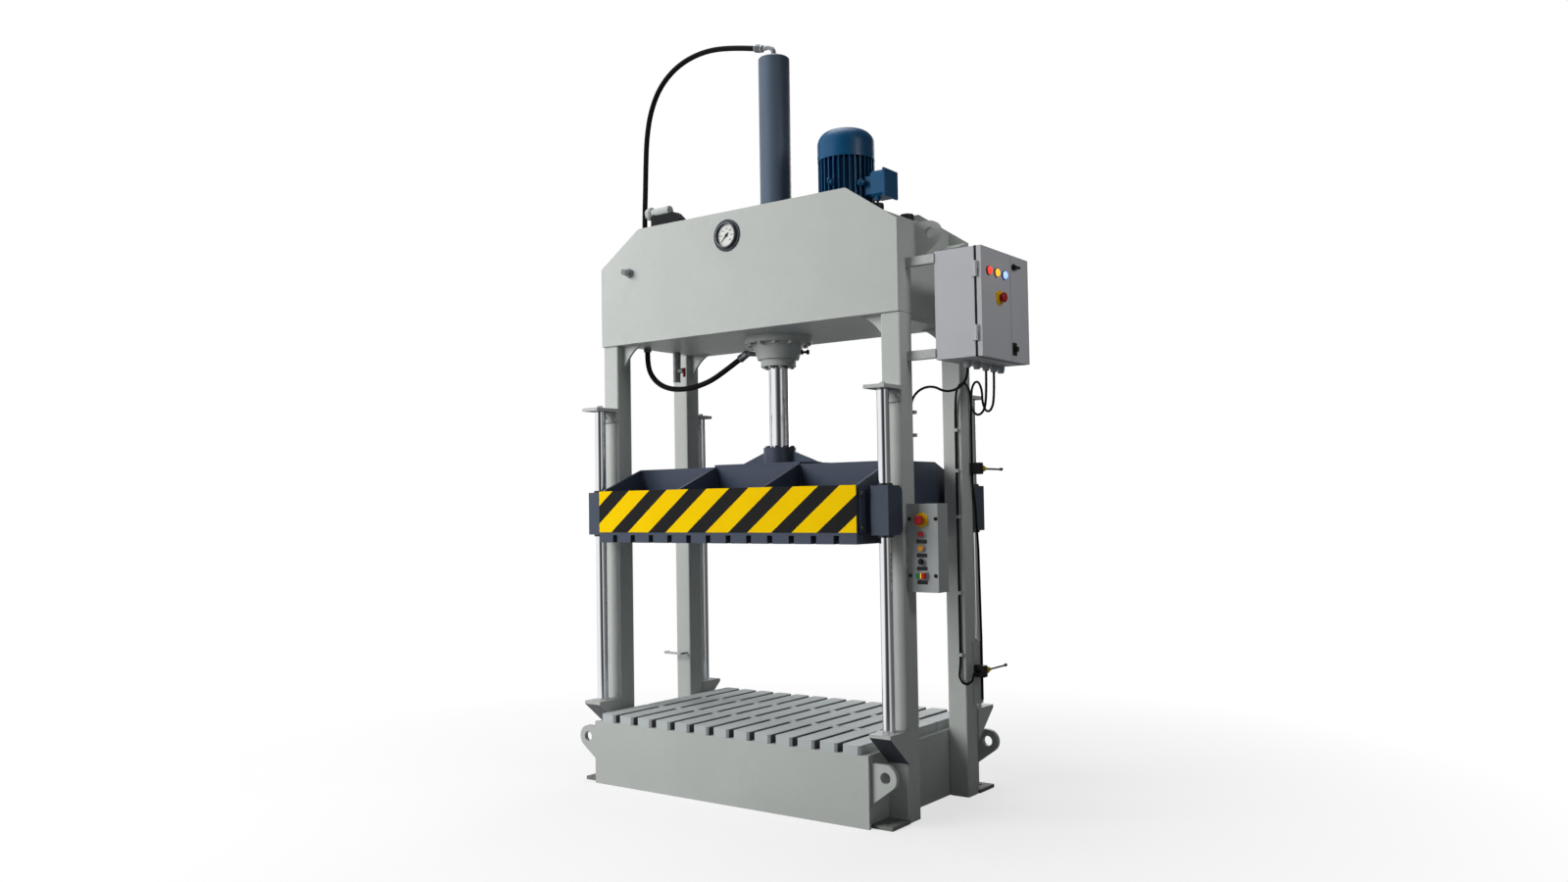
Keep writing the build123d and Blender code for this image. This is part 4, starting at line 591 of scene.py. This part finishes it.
def around(count, start):
    """Angles evenly round a circle from a start in degrees."""
    return [math.radians(start + 360 / count * i) for i in range(count)]


def outward(degrees):
    """A level direction, counted from the right towards the back."""
    angle = math.radians(degrees)
    return Vector((math.cos(angle), math.sin(angle), 0))


def bead_up(work, x, y, low, high, radius):
    """Adds an upright weld bead, its place in millimetres."""
    bead(work, at(x, y, low), at(x, y, high), radius)


def bead_across(work, start, end, y, z, radius):
    """Adds a weld bead along the width, its place in millimetres."""
    bead(work, at(start, y, z), at(end, y, z), radius)


FRONT, BACK = (0, -1, 0), (0, 1, 0)
RIGHT, LEFT = (1, 0, 0), (-1, 0, 0)
UP, DOWN = (0, 0, 1), (0, 0, -1)
SIDES = (-1, 1)
CORNERS = [(sx, sy) for sx in SIDES for sy in SIDES]

# Places that several pieces share, in millimetres, and the gauge's scale in degrees
GAUGE_X, GAUGE_Z = -45, 2430
SCALE_START, SCALE_SWEEP = 225, 270
COIL_Y, COIL_Z = -115, 2656
MOTOR_X = 384.03
ROD_X, ROD_Y = 770, 366
SWITCHES_Z = (1391, 525)
WAND_X, BOOT_Y = 846, 292.4
TOP_HOSE_X, TOP_HOSE_Y = -700, -119


def on_gauge(y):
    """The gauge's middle, at a depth."""
    return at(GAUGE_X, y, GAUGE_Z)


def gauge_face(work):
    """White face of the dial."""
    lathe(work, disc(0.0495, 0.0005), on_gauge(-310), FRONT, 64)


def gauge_marks(work):
    """Scale of the gauge: 31 marks over three quarters of a turn."""
    steps, thick, high = 30, 0.0004, 0.046
    for i in range(steps + 1):
        angle = math.radians(SCALE_START - SCALE_SWEEP / steps * i)
        major = i % 5 == 0
        low = 0.036 if major else 0.041
        half = 0.001 if major else 0.0005
        turn = Matrix.Translation(on_gauge(-310.6)) @ Matrix.Rotation(-angle, 4, "Y")
        made = bmesh.ops.create_cube(work, size=1.0)["verts"]
        for vertex in made:
            c = vertex.co
            vertex.co = turn @ Vector(((low + high) / 2 + c.x * (high - low), c.y * thick, c.z * 2 * half))


def gauge_numbers():
    """Numbers of the gauge's scale, as flat letters on the dial."""
    steps, radius = 6, 0.029
    for i in range(steps + 1):
        angle = math.radians(SCALE_START - SCALE_SWEEP / steps * i)
        letters = bpy.data.curves.new(f"scale_number_{i}", "FONT")
        letters.body = str(50 * i)
        letters.size = 0.0085
        letters.align_x = "CENTER"
        letters.align_y = "CENTER"
        letters.extrude = 0.0002
        letters.resolution_u = 3
        made = bpy.data.objects.new(f"scale_number_{i}", letters)
        scene.collection.objects.link(made)
        letters.materials.append(legend)
        made.location = on_gauge(-310.8) + Vector((math.cos(angle), 0, math.sin(angle))) * radius
        made.rotation_euler = (math.pi / 2, 0, 0)
        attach(made, "frame")


def gauge_bezel(work):
    """Metal ring round the dial."""
    ring(work, on_gauge(-321.4), FRONT, 0.0502, 0.0545, 0.0022, 72)


def flange_screws(work):
    """Three screws in the gauge's flange."""
    radius = 63.5
    for angle in around(3, 30):
        place = at(GAUGE_X + radius * math.cos(angle), -312, GAUGE_Z + radius * math.sin(angle))
        screw(work, place, FRONT, 0.0026)


group("gauge_dial", dial_white, "frame", gauge_face)
group("gauge_scale", legend, "frame", gauge_marks, 0.3)
gauge_numbers()
group("gauge_bezel", bezel_metal, "frame", gauge_bezel)
group("gauge_flange_screws", dark_steel, "frame", flange_screws)


def connector(work):
    """Grip ring, end ring, end plug and clamp band of the coil on the valve."""
    ring(work, at(-654, COIL_Y, COIL_Z), LEFT, 0.0278, 0.0305, 0.016, 40)
    ring(work, at(-677.8, COIL_Y, COIL_Z), LEFT, 0.0195, 0.0255, 0.003, 40)
    lathe(work, knob(0.012, 0.005, 0.0095, 0.0035), at(-677.9, COIL_Y, COIL_Z), LEFT, 32)
    band = [(0.0218, 0), (0.0228, 0.001), (0.0228, 0.01), (0.0218, 0.011)]
    lathe(work, band, at(-560, COIL_Y, COIL_Z), RIGHT, 36, caps=False)


def valve_caps(work):
    """Screws on top of the valve, and plugs in the manifold's front."""
    for x in (-628, -512):
        for y in (-136, -94):
            lathe(work, socket_head(0.0065, 0.006, 0.0035, 0.003), at(x, y, 2637), UP, 16)
    for x in (-690, -560, -480):
        lathe(work, socket_head(0.011, 0.004, 0.006, 0.001), at(x, -165, 2478), FRONT, 20)


group("solenoid_connector", pale, "frame", connector)
group("valve_screws", dark_steel, "frame", valve_caps)


def small_bolts(work):
    """Zinc bolts on the ends of the guide rods and on the motor's flange."""
    for sx, sy in CORNERS:
        bolt(work, at(sx * ROD_X, sy * ROD_Y, 1710), UP, 0.024, 0.011)
    radius = 132
    for angle in around(4, 45):
        place = at(MOTOR_X + radius * math.cos(angle), radius * math.sin(angle), 2447)
        bolt(work, place, UP, 0.019, 0.01)


def motor_screws(work):
    """Screws of the motor's cover and of the terminal box's lid."""
    radius = 125
    for angle in around(4, 45):
        way = (math.cos(angle), math.sin(angle), 0)
        screw(work, at(MOTOR_X + radius * way[0], radius * way[1], 2756), way, 0.005)
    for sy in SIDES:
        for z in (2564, 2656):
            screw(work, at(612.03, sy * 44, z), RIGHT, 0.0045)


def motor_lugs(work):
    """Lifting eye and earth boss on the motor's frame."""
    way = outward(-87)
    place = at(MOTOR_X, 0, 2628) + way * 0.1245
    lathe(work, knob(0.013, 0.008, 0.009, 0.006), place, tuple(way), 20)
    ring(work, place + way * 0.022 + Vector((0.004, 0, 0)), LEFT, 0.009, 0.0165, 0.008, 28)
    way = outward(-29)
    place = at(MOTOR_X, 0, 2622) + way * 0.1225
    lathe(work, knob(0.015, 0.015, 0.012, 0.012), place, tuple(way), 24)
    bolt(work, place + way * 0.015, tuple(way), 0.013, 0.008)


group("motor_lugs", motor_paint, "frame", motor_lugs)
group("frame_bolts", steel, "frame", small_bolts)
group("motor_screws", dark_steel, "frame", motor_screws)


def collar_screws(work):
    """Socket screws on top of the ram's collar."""
    head = [(0, 0), (0.008, 0), (0.008, 0.007), (0.0072, 0.008),
            (0.0042, 0.008), (0.0042, 0.004), (0, 0.004)]
    radius = 60
    for angle in around(8, 22.5):
        lathe(work, head, at(radius * math.cos(angle), radius * math.sin(angle), 1506), UP, 18)


def guide_bolts(work):
    """Bolts in the strips that fix the guide boxes to the platen."""
    for sx, sy in CORNERS:
        for z in (1154, 1286):
            bolt(work, at(sx * 705, sy * 434, z), (sx, 0, 0), 0.016, 0.008)


group("collar_screws", dark_steel, "platen", collar_screws)
group("guide_bolts", dark_steel, "platen", guide_bolts)


def ram_wiper(work):
    """Wiper lip of the gland round the ram."""
    ring(work, at(0, 0, 1873), DOWN, 0.0453, 0.053, 0.0045, 64)


def bush_wipers(work):
    """Wiper lips above and below the guide boxes, round the rods."""
    for sx, sy in CORNERS:
        for z, way in ((1323, UP), (1117, DOWN)):
            ring(work, at(sx * ROD_X, sy * ROD_Y, z), way, 0.0254, 0.031, 0.003, 40)


def flange_plug(work):
    """Vent plug on the cylinder's housing."""
    way = Vector((0.86, 0.51, 0)).normalized()
    start = way * 0.1045 + Vector((0, 0, 1.938))
    outline = [(0, 0), (0.012, 0), (0.012, 0.008), (0.006, 0.009), (0.006, 0.022), (0.011, 0.024),
               (0.011, 0.034), (0.008, 0.037), (0, 0.037)]
    lathe(work, outline, start, way, 18)


group("ram_wiper", legend, "frame", ram_wiper)
group("bush_wipers", legend, "platen", bush_wipers)
group("flange_plug", legend, "frame", flange_plug)


def post_joints(work):
    """Dark seams where the crosshead's stubs stand on the posts."""
    for sx, sy in CORNERS:
        x = sorted((sx * 721.7, sx * 812.25))
        y = sorted((sy * 201.7, sy * 296.25))
        slab(work, at(x[0], y[0], 2006.1), at(x[1], y[1], 2007.6))


group("post_joints", joint_line, "frame", post_joints, 0.2)


def frame_welds(work):
    """Fillet welds of lugs, brackets, gussets and posts."""
    lug_x, lug_half, lug_down, lug_up = 723, 11, 113, 48
    post_in, post_out, bracket_y, foot_y = 722, 812, 297, 298
    gusset_y, gusset_half = 249, 7
    for sx in SIDES:
        for y, z in ((-430, 200), (430, 200), (0, 2371)):
            for side in SIDES:
                bead_up(work, sx * lug_x, y + side * lug_half, z - lug_down, z + lug_up, 0.004)
        for sy in SIDES:
            for z in (361, 226):
                bead_across(work, sx * post_in, sx * post_out, sy * bracket_y, z, 0.0045)
            for side in SIDES:
                y = sy * gusset_y + side * gusset_half
                bead_up(work, sx * 721, y, 1890, 2005, 0.0035)
                bead_across(work, sx * 610, sx * 719, y, 2006, 0.0035)
            bead_up(work, sx * 723, sy * foot_y, 16, 222, 0.004)
            bead_across(work, sx * post_in, sx * 811, sy * foot_y, 16, 0.004)


def platen_welds(work):
    """Fillet welds inside the platen's troughs, and of the collar's fins."""
    length, wall, radius = 1388, 12, 0.0045
    pitch = (length - wall) / 3
    beam_y, wall_y, sole_z = 181.5, 440, 1136
    for i in range(4):
        x = -length / 2 + i * pitch
        for sy, side in CORNERS:
            edge = x + wall / 2 + side * 7.5
            if abs(edge) < length / 2 - 2:
                bead(work, at(edge, sy * 182, sole_z), at(edge, sy * wall_y, sole_z), radius)
                bead_up(work, edge, sy * beam_y, sole_z + 1, 1420, radius)
                bead_up(work, edge, sy * wall_y, sole_z + 1, 1319, radius)
    for side, face in CORNERS:
        bead_across(work, side * 76, side * 222, face * 7.5, 1433, radius)
        bead_up(work, side * 74, face * 8, 1434, 1488, radius)


group("frame_welds", painted_weld, "frame", frame_welds, 1.2)
group("platen_welds", slate_weld, "platen", platen_welds, 1.2)


def cabinet_gasket(work):
    """Dark seal round the cabinet's mouth, in the gap behind the doors."""
    left, right, bottom, top, wide = -239.6, 182.6, 1805.4, 2233.6, 4.6
    for low, high in (((left, bottom), (right, bottom + wide)), ((left, top - wide), (right, top)),
                      ((left, bottom), (left + wide, top)), ((right - wide, bottom), (right, top))):
        slab(work, at(1112, *low), at(1121.7, *high))


def cabinet_screws(work):
    """Screws in the cabinet's back."""
    for y in (-196, 139):
        for z in (1836, 2203):
            screw(work, at(940.2, y, z), LEFT, 0.006)


def latch_plate(work):
    """Oblong plate round the lower latch's head."""
    middle_y, middle_z, half_y, half_z, hole_radius = 40.81, 1856, 17, 25, 14
    back, front, count = 1141.9, 1146, 32
    angles = sorted([2 * math.pi * i / count for i in range(count)]
                    + [math.atan2(sz * half_z, sy * half_y) % (2 * math.pi) for sy, sz in CORNERS])
    rims = []
    for x, hole in ((back, True), (front, True), (front, False), (back, False)):
        rim = []
        for a in angles:
            c, d = math.cos(a), math.sin(a)
            square = min(half_y / max(abs(c), 1e-6), half_z / max(abs(d), 1e-6))
            r = hole_radius if hole else square
            rim.append(work.verts.new(at(x, middle_y + r * c, middle_z + r * d)))
        rims.append(rim)
    for low, high in zip(rims, rims[1:] + rims[:1]):
        for i in range(len(angles)):
            k = (i + 1) % len(angles)
            work.faces.new((low[i], low[k], high[k], high[i]))


group("latch_plate", legend, "right_door", latch_plate, 0.5)
group("cabinet_gasket", gasket_rubber, "frame", cabinet_gasket, 0.3)
group("cabinet_screws", steel, "frame", cabinet_screws)


def legends(work):
    """Bare plates under the controls of the operator box."""
    half = 7.5
    for z in (1096, 1042, 991, 937):
        slab(work, at(856, -276, z - half), at(902, -273.9, z + half), 0.0008)


def box_screws(work):
    """Screws in the operator box's front."""
    for x, z in ((826, 1184), (942, 1184), (826, 963), (938, 963)):
        screw(work, at(x, -274, z), FRONT, 0.0078)


def lit_window(work):
    """Lit window between the halves of the double push button."""
    slab(work, at(875.6, -287.5, 953), at(882.4, -281.5, 973), 0.001)


group("box_legends", legend, "frame", legends)
group("box_screws", legend, "frame", box_screws)
group("lit_window", lit, "frame", lit_window)


def switch_lids(work):
    """Lids and lid screws of the limit switches."""
    half = 23.5
    # A bevel leaves free places in no fixed order, and later faces fill them: the screws come first
    for z in SWITCHES_Z:
        for y, up in ((268, 18), (286, -18)):
            screw(work, at(867.5, y, z + up), RIGHT, 0.003)
    for z in SWITCHES_Z:
        slab(work, at(865, 263.5, z - half), at(867.5, 290.5, z + half), 0.0008)


def boot_ribs(z):
    """Folds of a wand's boot."""
    wide = 0.003

    def build(work):
        for step in (17, 23, 29):
            ring(work, at(WAND_X, BOOT_Y + step, z), BACK, 0.0135, 0.0155, wide, 28)
        for step, radius in ((39, 0.0125), (47, 0.011)):
            ring(work, at(WAND_X, BOOT_Y + step, z), BACK, radius - wide, radius, wide, 28)
    return build


group("switch_lids", legend, "frame", switch_lids)
group("upper_boot_ribs", boot_yellow, "upper_wand", boot_ribs(SWITCHES_Z[0]))
group("lower_boot_ribs", boot_yellow, "lower_wand", boot_ribs(SWITCHES_Z[1]))


def wand_tip(node):
    """Black cap on the end of a wand."""
    low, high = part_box(node)
    middle = [(a + b) / 2 for a, b in zip(low, high)]

    def build(work):
        lathe(work, [(0.0052, 0), (0.0072, 0), (0.0074, 0.014), (0.006, 0.0165), (0, 0.0168)],
              (middle[0], high[1] - 0.016, middle[2]), BACK, 24, caps=False)
    return build


group("upper_wand_tip", legend, "upper_wand", wand_tip("upper_wand"))
group("lower_wand_tip", legend, "lower_wand", wand_tip("lower_wand"))


def crimps(work):
    """Crimp rings on the hose ends, and the nut below the top hose."""
    inner, outer = 0.0165, 0.0185
    for step in (8, 17, 26):
        ring(work, at(TOP_HOSE_X, TOP_HOSE_Y, 2549 + step), UP, inner, outer, 0.004, 32)
        ring(work, at(-664, -150, 2003 - step * 0.5), DOWN, inner, outer, 0.003, 32)
    lathe(work, knob(0.0225, 0.013, 0.0205, 0.011), at(TOP_HOSE_X, TOP_HOSE_Y, 2545), UP, 6)
    rise, swing = math.radians(13.115), math.radians(8.035)
    way = Vector((-math.cos(rise) * math.cos(swing), -math.cos(rise) * math.sin(swing), math.sin(rise)))
    for step in (12, 21, 30):
        ring(work, at(-62, 0, 3354) + way * step / 1000, tuple(way), inner, outer, 0.004, 32)
    way = Vector((-50, -6, -30)).normalized()
    for step in (21, 30, 38):
        ring(work, at(-118, -84, 1935) + way * step / 1000, tuple(way), inner, outer, 0.003, 32)


def cap_ribs(work):
    """Grip ribs round the tank's caps."""
    rib = [(0, 0), (0.0016, 0.001), (0.0016, 0.019), (0, 0.02)]
    cap_x, radius, count = 676, 28, 28
    for y in (-230, 13):
        for i in range(count):
            angle = 2 * math.pi * i / count
            place = at(cap_x + radius * math.cos(angle), y + radius * math.sin(angle), 2444)
            lathe(work, rib, place, UP, 6)


group("hose_crimps", dark_steel, "frame", crimps)
group("cap_ribs", black, "frame", cap_ribs, 1.0)


# Stage, light and camera

# Brightness of the surroundings in reflections, once round from the left by way of the front
PANELS = ((0.0, 0.9), (0.083, 1.0), (0.208, 1.0), (0.264, 0.25), (0.3, 0.05), (0.375, 0.05), (0.408, 0.5),
          (0.433, 0.8), (0.461, 0.35), (0.5, 0.14), (0.667, 0.1), (0.806, 0.2), (0.889, 0.6), (1.0, 0.9))
FLOOR_HALF = 30


class Tree(Shader):
    """A node tree with the same short calls, for the floor and the world."""

    def __init__(self, tree):
        self.tree = tree
        tree.nodes.clear()

    def studio(self, direction):
        """Brightness of the white surroundings: full, but for dark flags that only reflections show."""
        x, y, _ = self.parts(direction)
        bearing = self.math("ARCTAN2", y, x)
        ramp = self.add("ShaderNodeValToRGB")
        ramp.color_ramp.interpolation = "EASE"
        for place, value in PANELS[1:-1]:
            ramp.color_ramp.elements.new(place).color = (value, value, value, 1.0)
        for end, value in ((0, PANELS[0][1]), (-1, PANELS[-1][1])):
            ramp.color_ramp.elements[end].color = (value, value, value, 1.0)
        self.put(ramp.inputs[0], self.ramp(bearing, -math.pi, math.pi))
        self.path = self.add("ShaderNodeLightPath").outputs
        return self.mix(self.path["Is Glossy Ray"], (1.0, 1.0, 1.0, 1.0), ramp.outputs[0])

    def seen(self):
        """One for rays that show the surroundings: straight, mirrored or through glass."""
        mirrored = self.math("MAXIMUM", self.path["Is Glossy Ray"], self.path["Is Transmission Ray"])
        return self.math("MAXIMUM", self.path["Is Camera Ray"], mirrored)

    def choose(self, share, first, second):
        node = self.add("ShaderNodeMixShader")
        for socket, value in zip(node.inputs, (share, first, second)):
            self.put(socket, value)
        return node.outputs[0]


floor_mesh = bpy.data.meshes.new("floor")
floor_corners = [(sx * FLOOR_HALF, sy * FLOOR_HALF, 0) for sx, sy in ((-1, -1), (1, -1), (1, 1), (-1, 1))]
floor_mesh.from_pydata(floor_corners, [], [(0, 1, 2, 3)])
floor = bpy.data.objects.new("floor", floor_mesh)
scene.collection.objects.link(floor)
floor_finish = bpy.data.materials.new("floor_pale")
floor_finish.use_nodes = True
floor_mesh.materials.append(floor_finish)
t = Tree(floor_finish.node_tree)
ground = t.add("ShaderNodeTexCoord").outputs["Object"]
glow = t.add("ShaderNodeEmission")
t.put(glow.inputs[0], t.studio(ground))
matt = t.add("ShaderNodeBsdfDiffuse")
clouds = t.ramp(t.noise(0.8, 3.0, place=ground), 0.3, 0.7)
pale_floor = t.mix(clouds, linear(240, 240, 240), linear(245, 245, 245))
t.put(matt.inputs[0], t.mix(t.path["Is Diffuse Ray"], pale_floor, linear(150, 152, 154)))
reach = t.add("ShaderNodeVectorMath", operation="LENGTH")
t.put(reach.inputs[0], ground)
white = t.math("MULTIPLY", t.seen(), t.ramp(reach.outputs["Value"], 1.3, 3.2, 0.68, 1.0))
t.put(t.add("ShaderNodeOutputMaterial").inputs[0], t.choose(white, matt.outputs[0], glow.outputs[0]))

world = bpy.data.worlds.new("studio")
scene.world = world
world.use_nodes = True
t = Tree(world.node_tree)
surroundings = t.add("ShaderNodeBackground")
t.put(surroundings.inputs[0], t.studio(t.add("ShaderNodeTexCoord").outputs["Generated"]))
soft = t.add("ShaderNodeBackground")
soft.inputs[0].default_value = (0.93, 0.96, 1.0, 1.0)
soft.inputs[1].default_value = 0.1
shown = t.choose(t.seen(), soft.outputs[0], surroundings.outputs[0])
t.put(t.add("ShaderNodeOutputWorld").inputs[0], shown)


def area_light(name, place, target, size, power, spread=180, mirrored=True):
    """A soft square lamp aimed at a point."""
    lamp = bpy.data.lights.new(name, "AREA")
    lamp.size = size
    lamp.energy = power
    lamp.spread = math.radians(spread)
    thing = bpy.data.objects.new(name, lamp)
    scene.collection.objects.link(thing)
    thing.location = place
    thing.rotation_euler = (Vector(target) - Vector(place)).to_track_quat("-Z", "Y").to_euler()
    thing.visible_glossy = mirrored


area_light("key", (-3.4, -5.5, 3.8), (0, 0, 1.4), 4.0, 430, mirrored=False)
area_light("side", (4.4, -0.6, 3.4), (1.1, 0, 2.1), 1.0, 3.2, spread=50)
area_light("top", (-0.7, 0.2, 6.5), (0, 0, 1.0), 3.4, 120)
area_light("back", (-1.2, 5.5, 3.0), (0, 0, 0.3), 3.5, 110)

# The photograph's camera: turns in degrees, place in metres, sensor in millimetres, the rest in pixels
CAMERA_TURNS = (36.56, 2.11, -0.89)
CAMERA_PLACE = (3.21905, -4.40524, 1.24937)
IMAGE_WIDTH, IMAGE_HEIGHT = 1600, 900
FOCAL, CENTRE_X, CENTRE_Y = 1229.28, 787.36, 469.59
SENSOR = 36.0
camera_data = bpy.data.cameras.new("photo_camera")
camera = bpy.data.objects.new("photo_camera", camera_data)
scene.collection.objects.link(camera)
scene.camera = camera
yaw, pitch, roll = [math.radians(angle) for angle in CAMERA_TURNS]
forward = Vector((-math.sin(yaw) * math.cos(pitch), math.cos(yaw) * math.cos(pitch), math.sin(pitch)))
level = Vector((math.cos(yaw), math.sin(yaw), 0))
upright = level.cross(forward)
right = level * math.cos(roll) + upright * math.sin(roll)
up = upright * math.cos(roll) - level * math.sin(roll)
turned = Matrix((right, up, -forward)).transposed().to_4x4()
camera.matrix_world = Matrix.Translation(CAMERA_PLACE) @ turned
camera_data.sensor_width = SENSOR
camera_data.lens = SENSOR * FOCAL / IMAGE_WIDTH
camera_data.shift_x = (IMAGE_WIDTH / 2 - CENTRE_X) / IMAGE_WIDTH
camera_data.shift_y = (CENTRE_Y - IMAGE_HEIGHT / 2) / IMAGE_WIDTH
camera_data.clip_end = 100.0
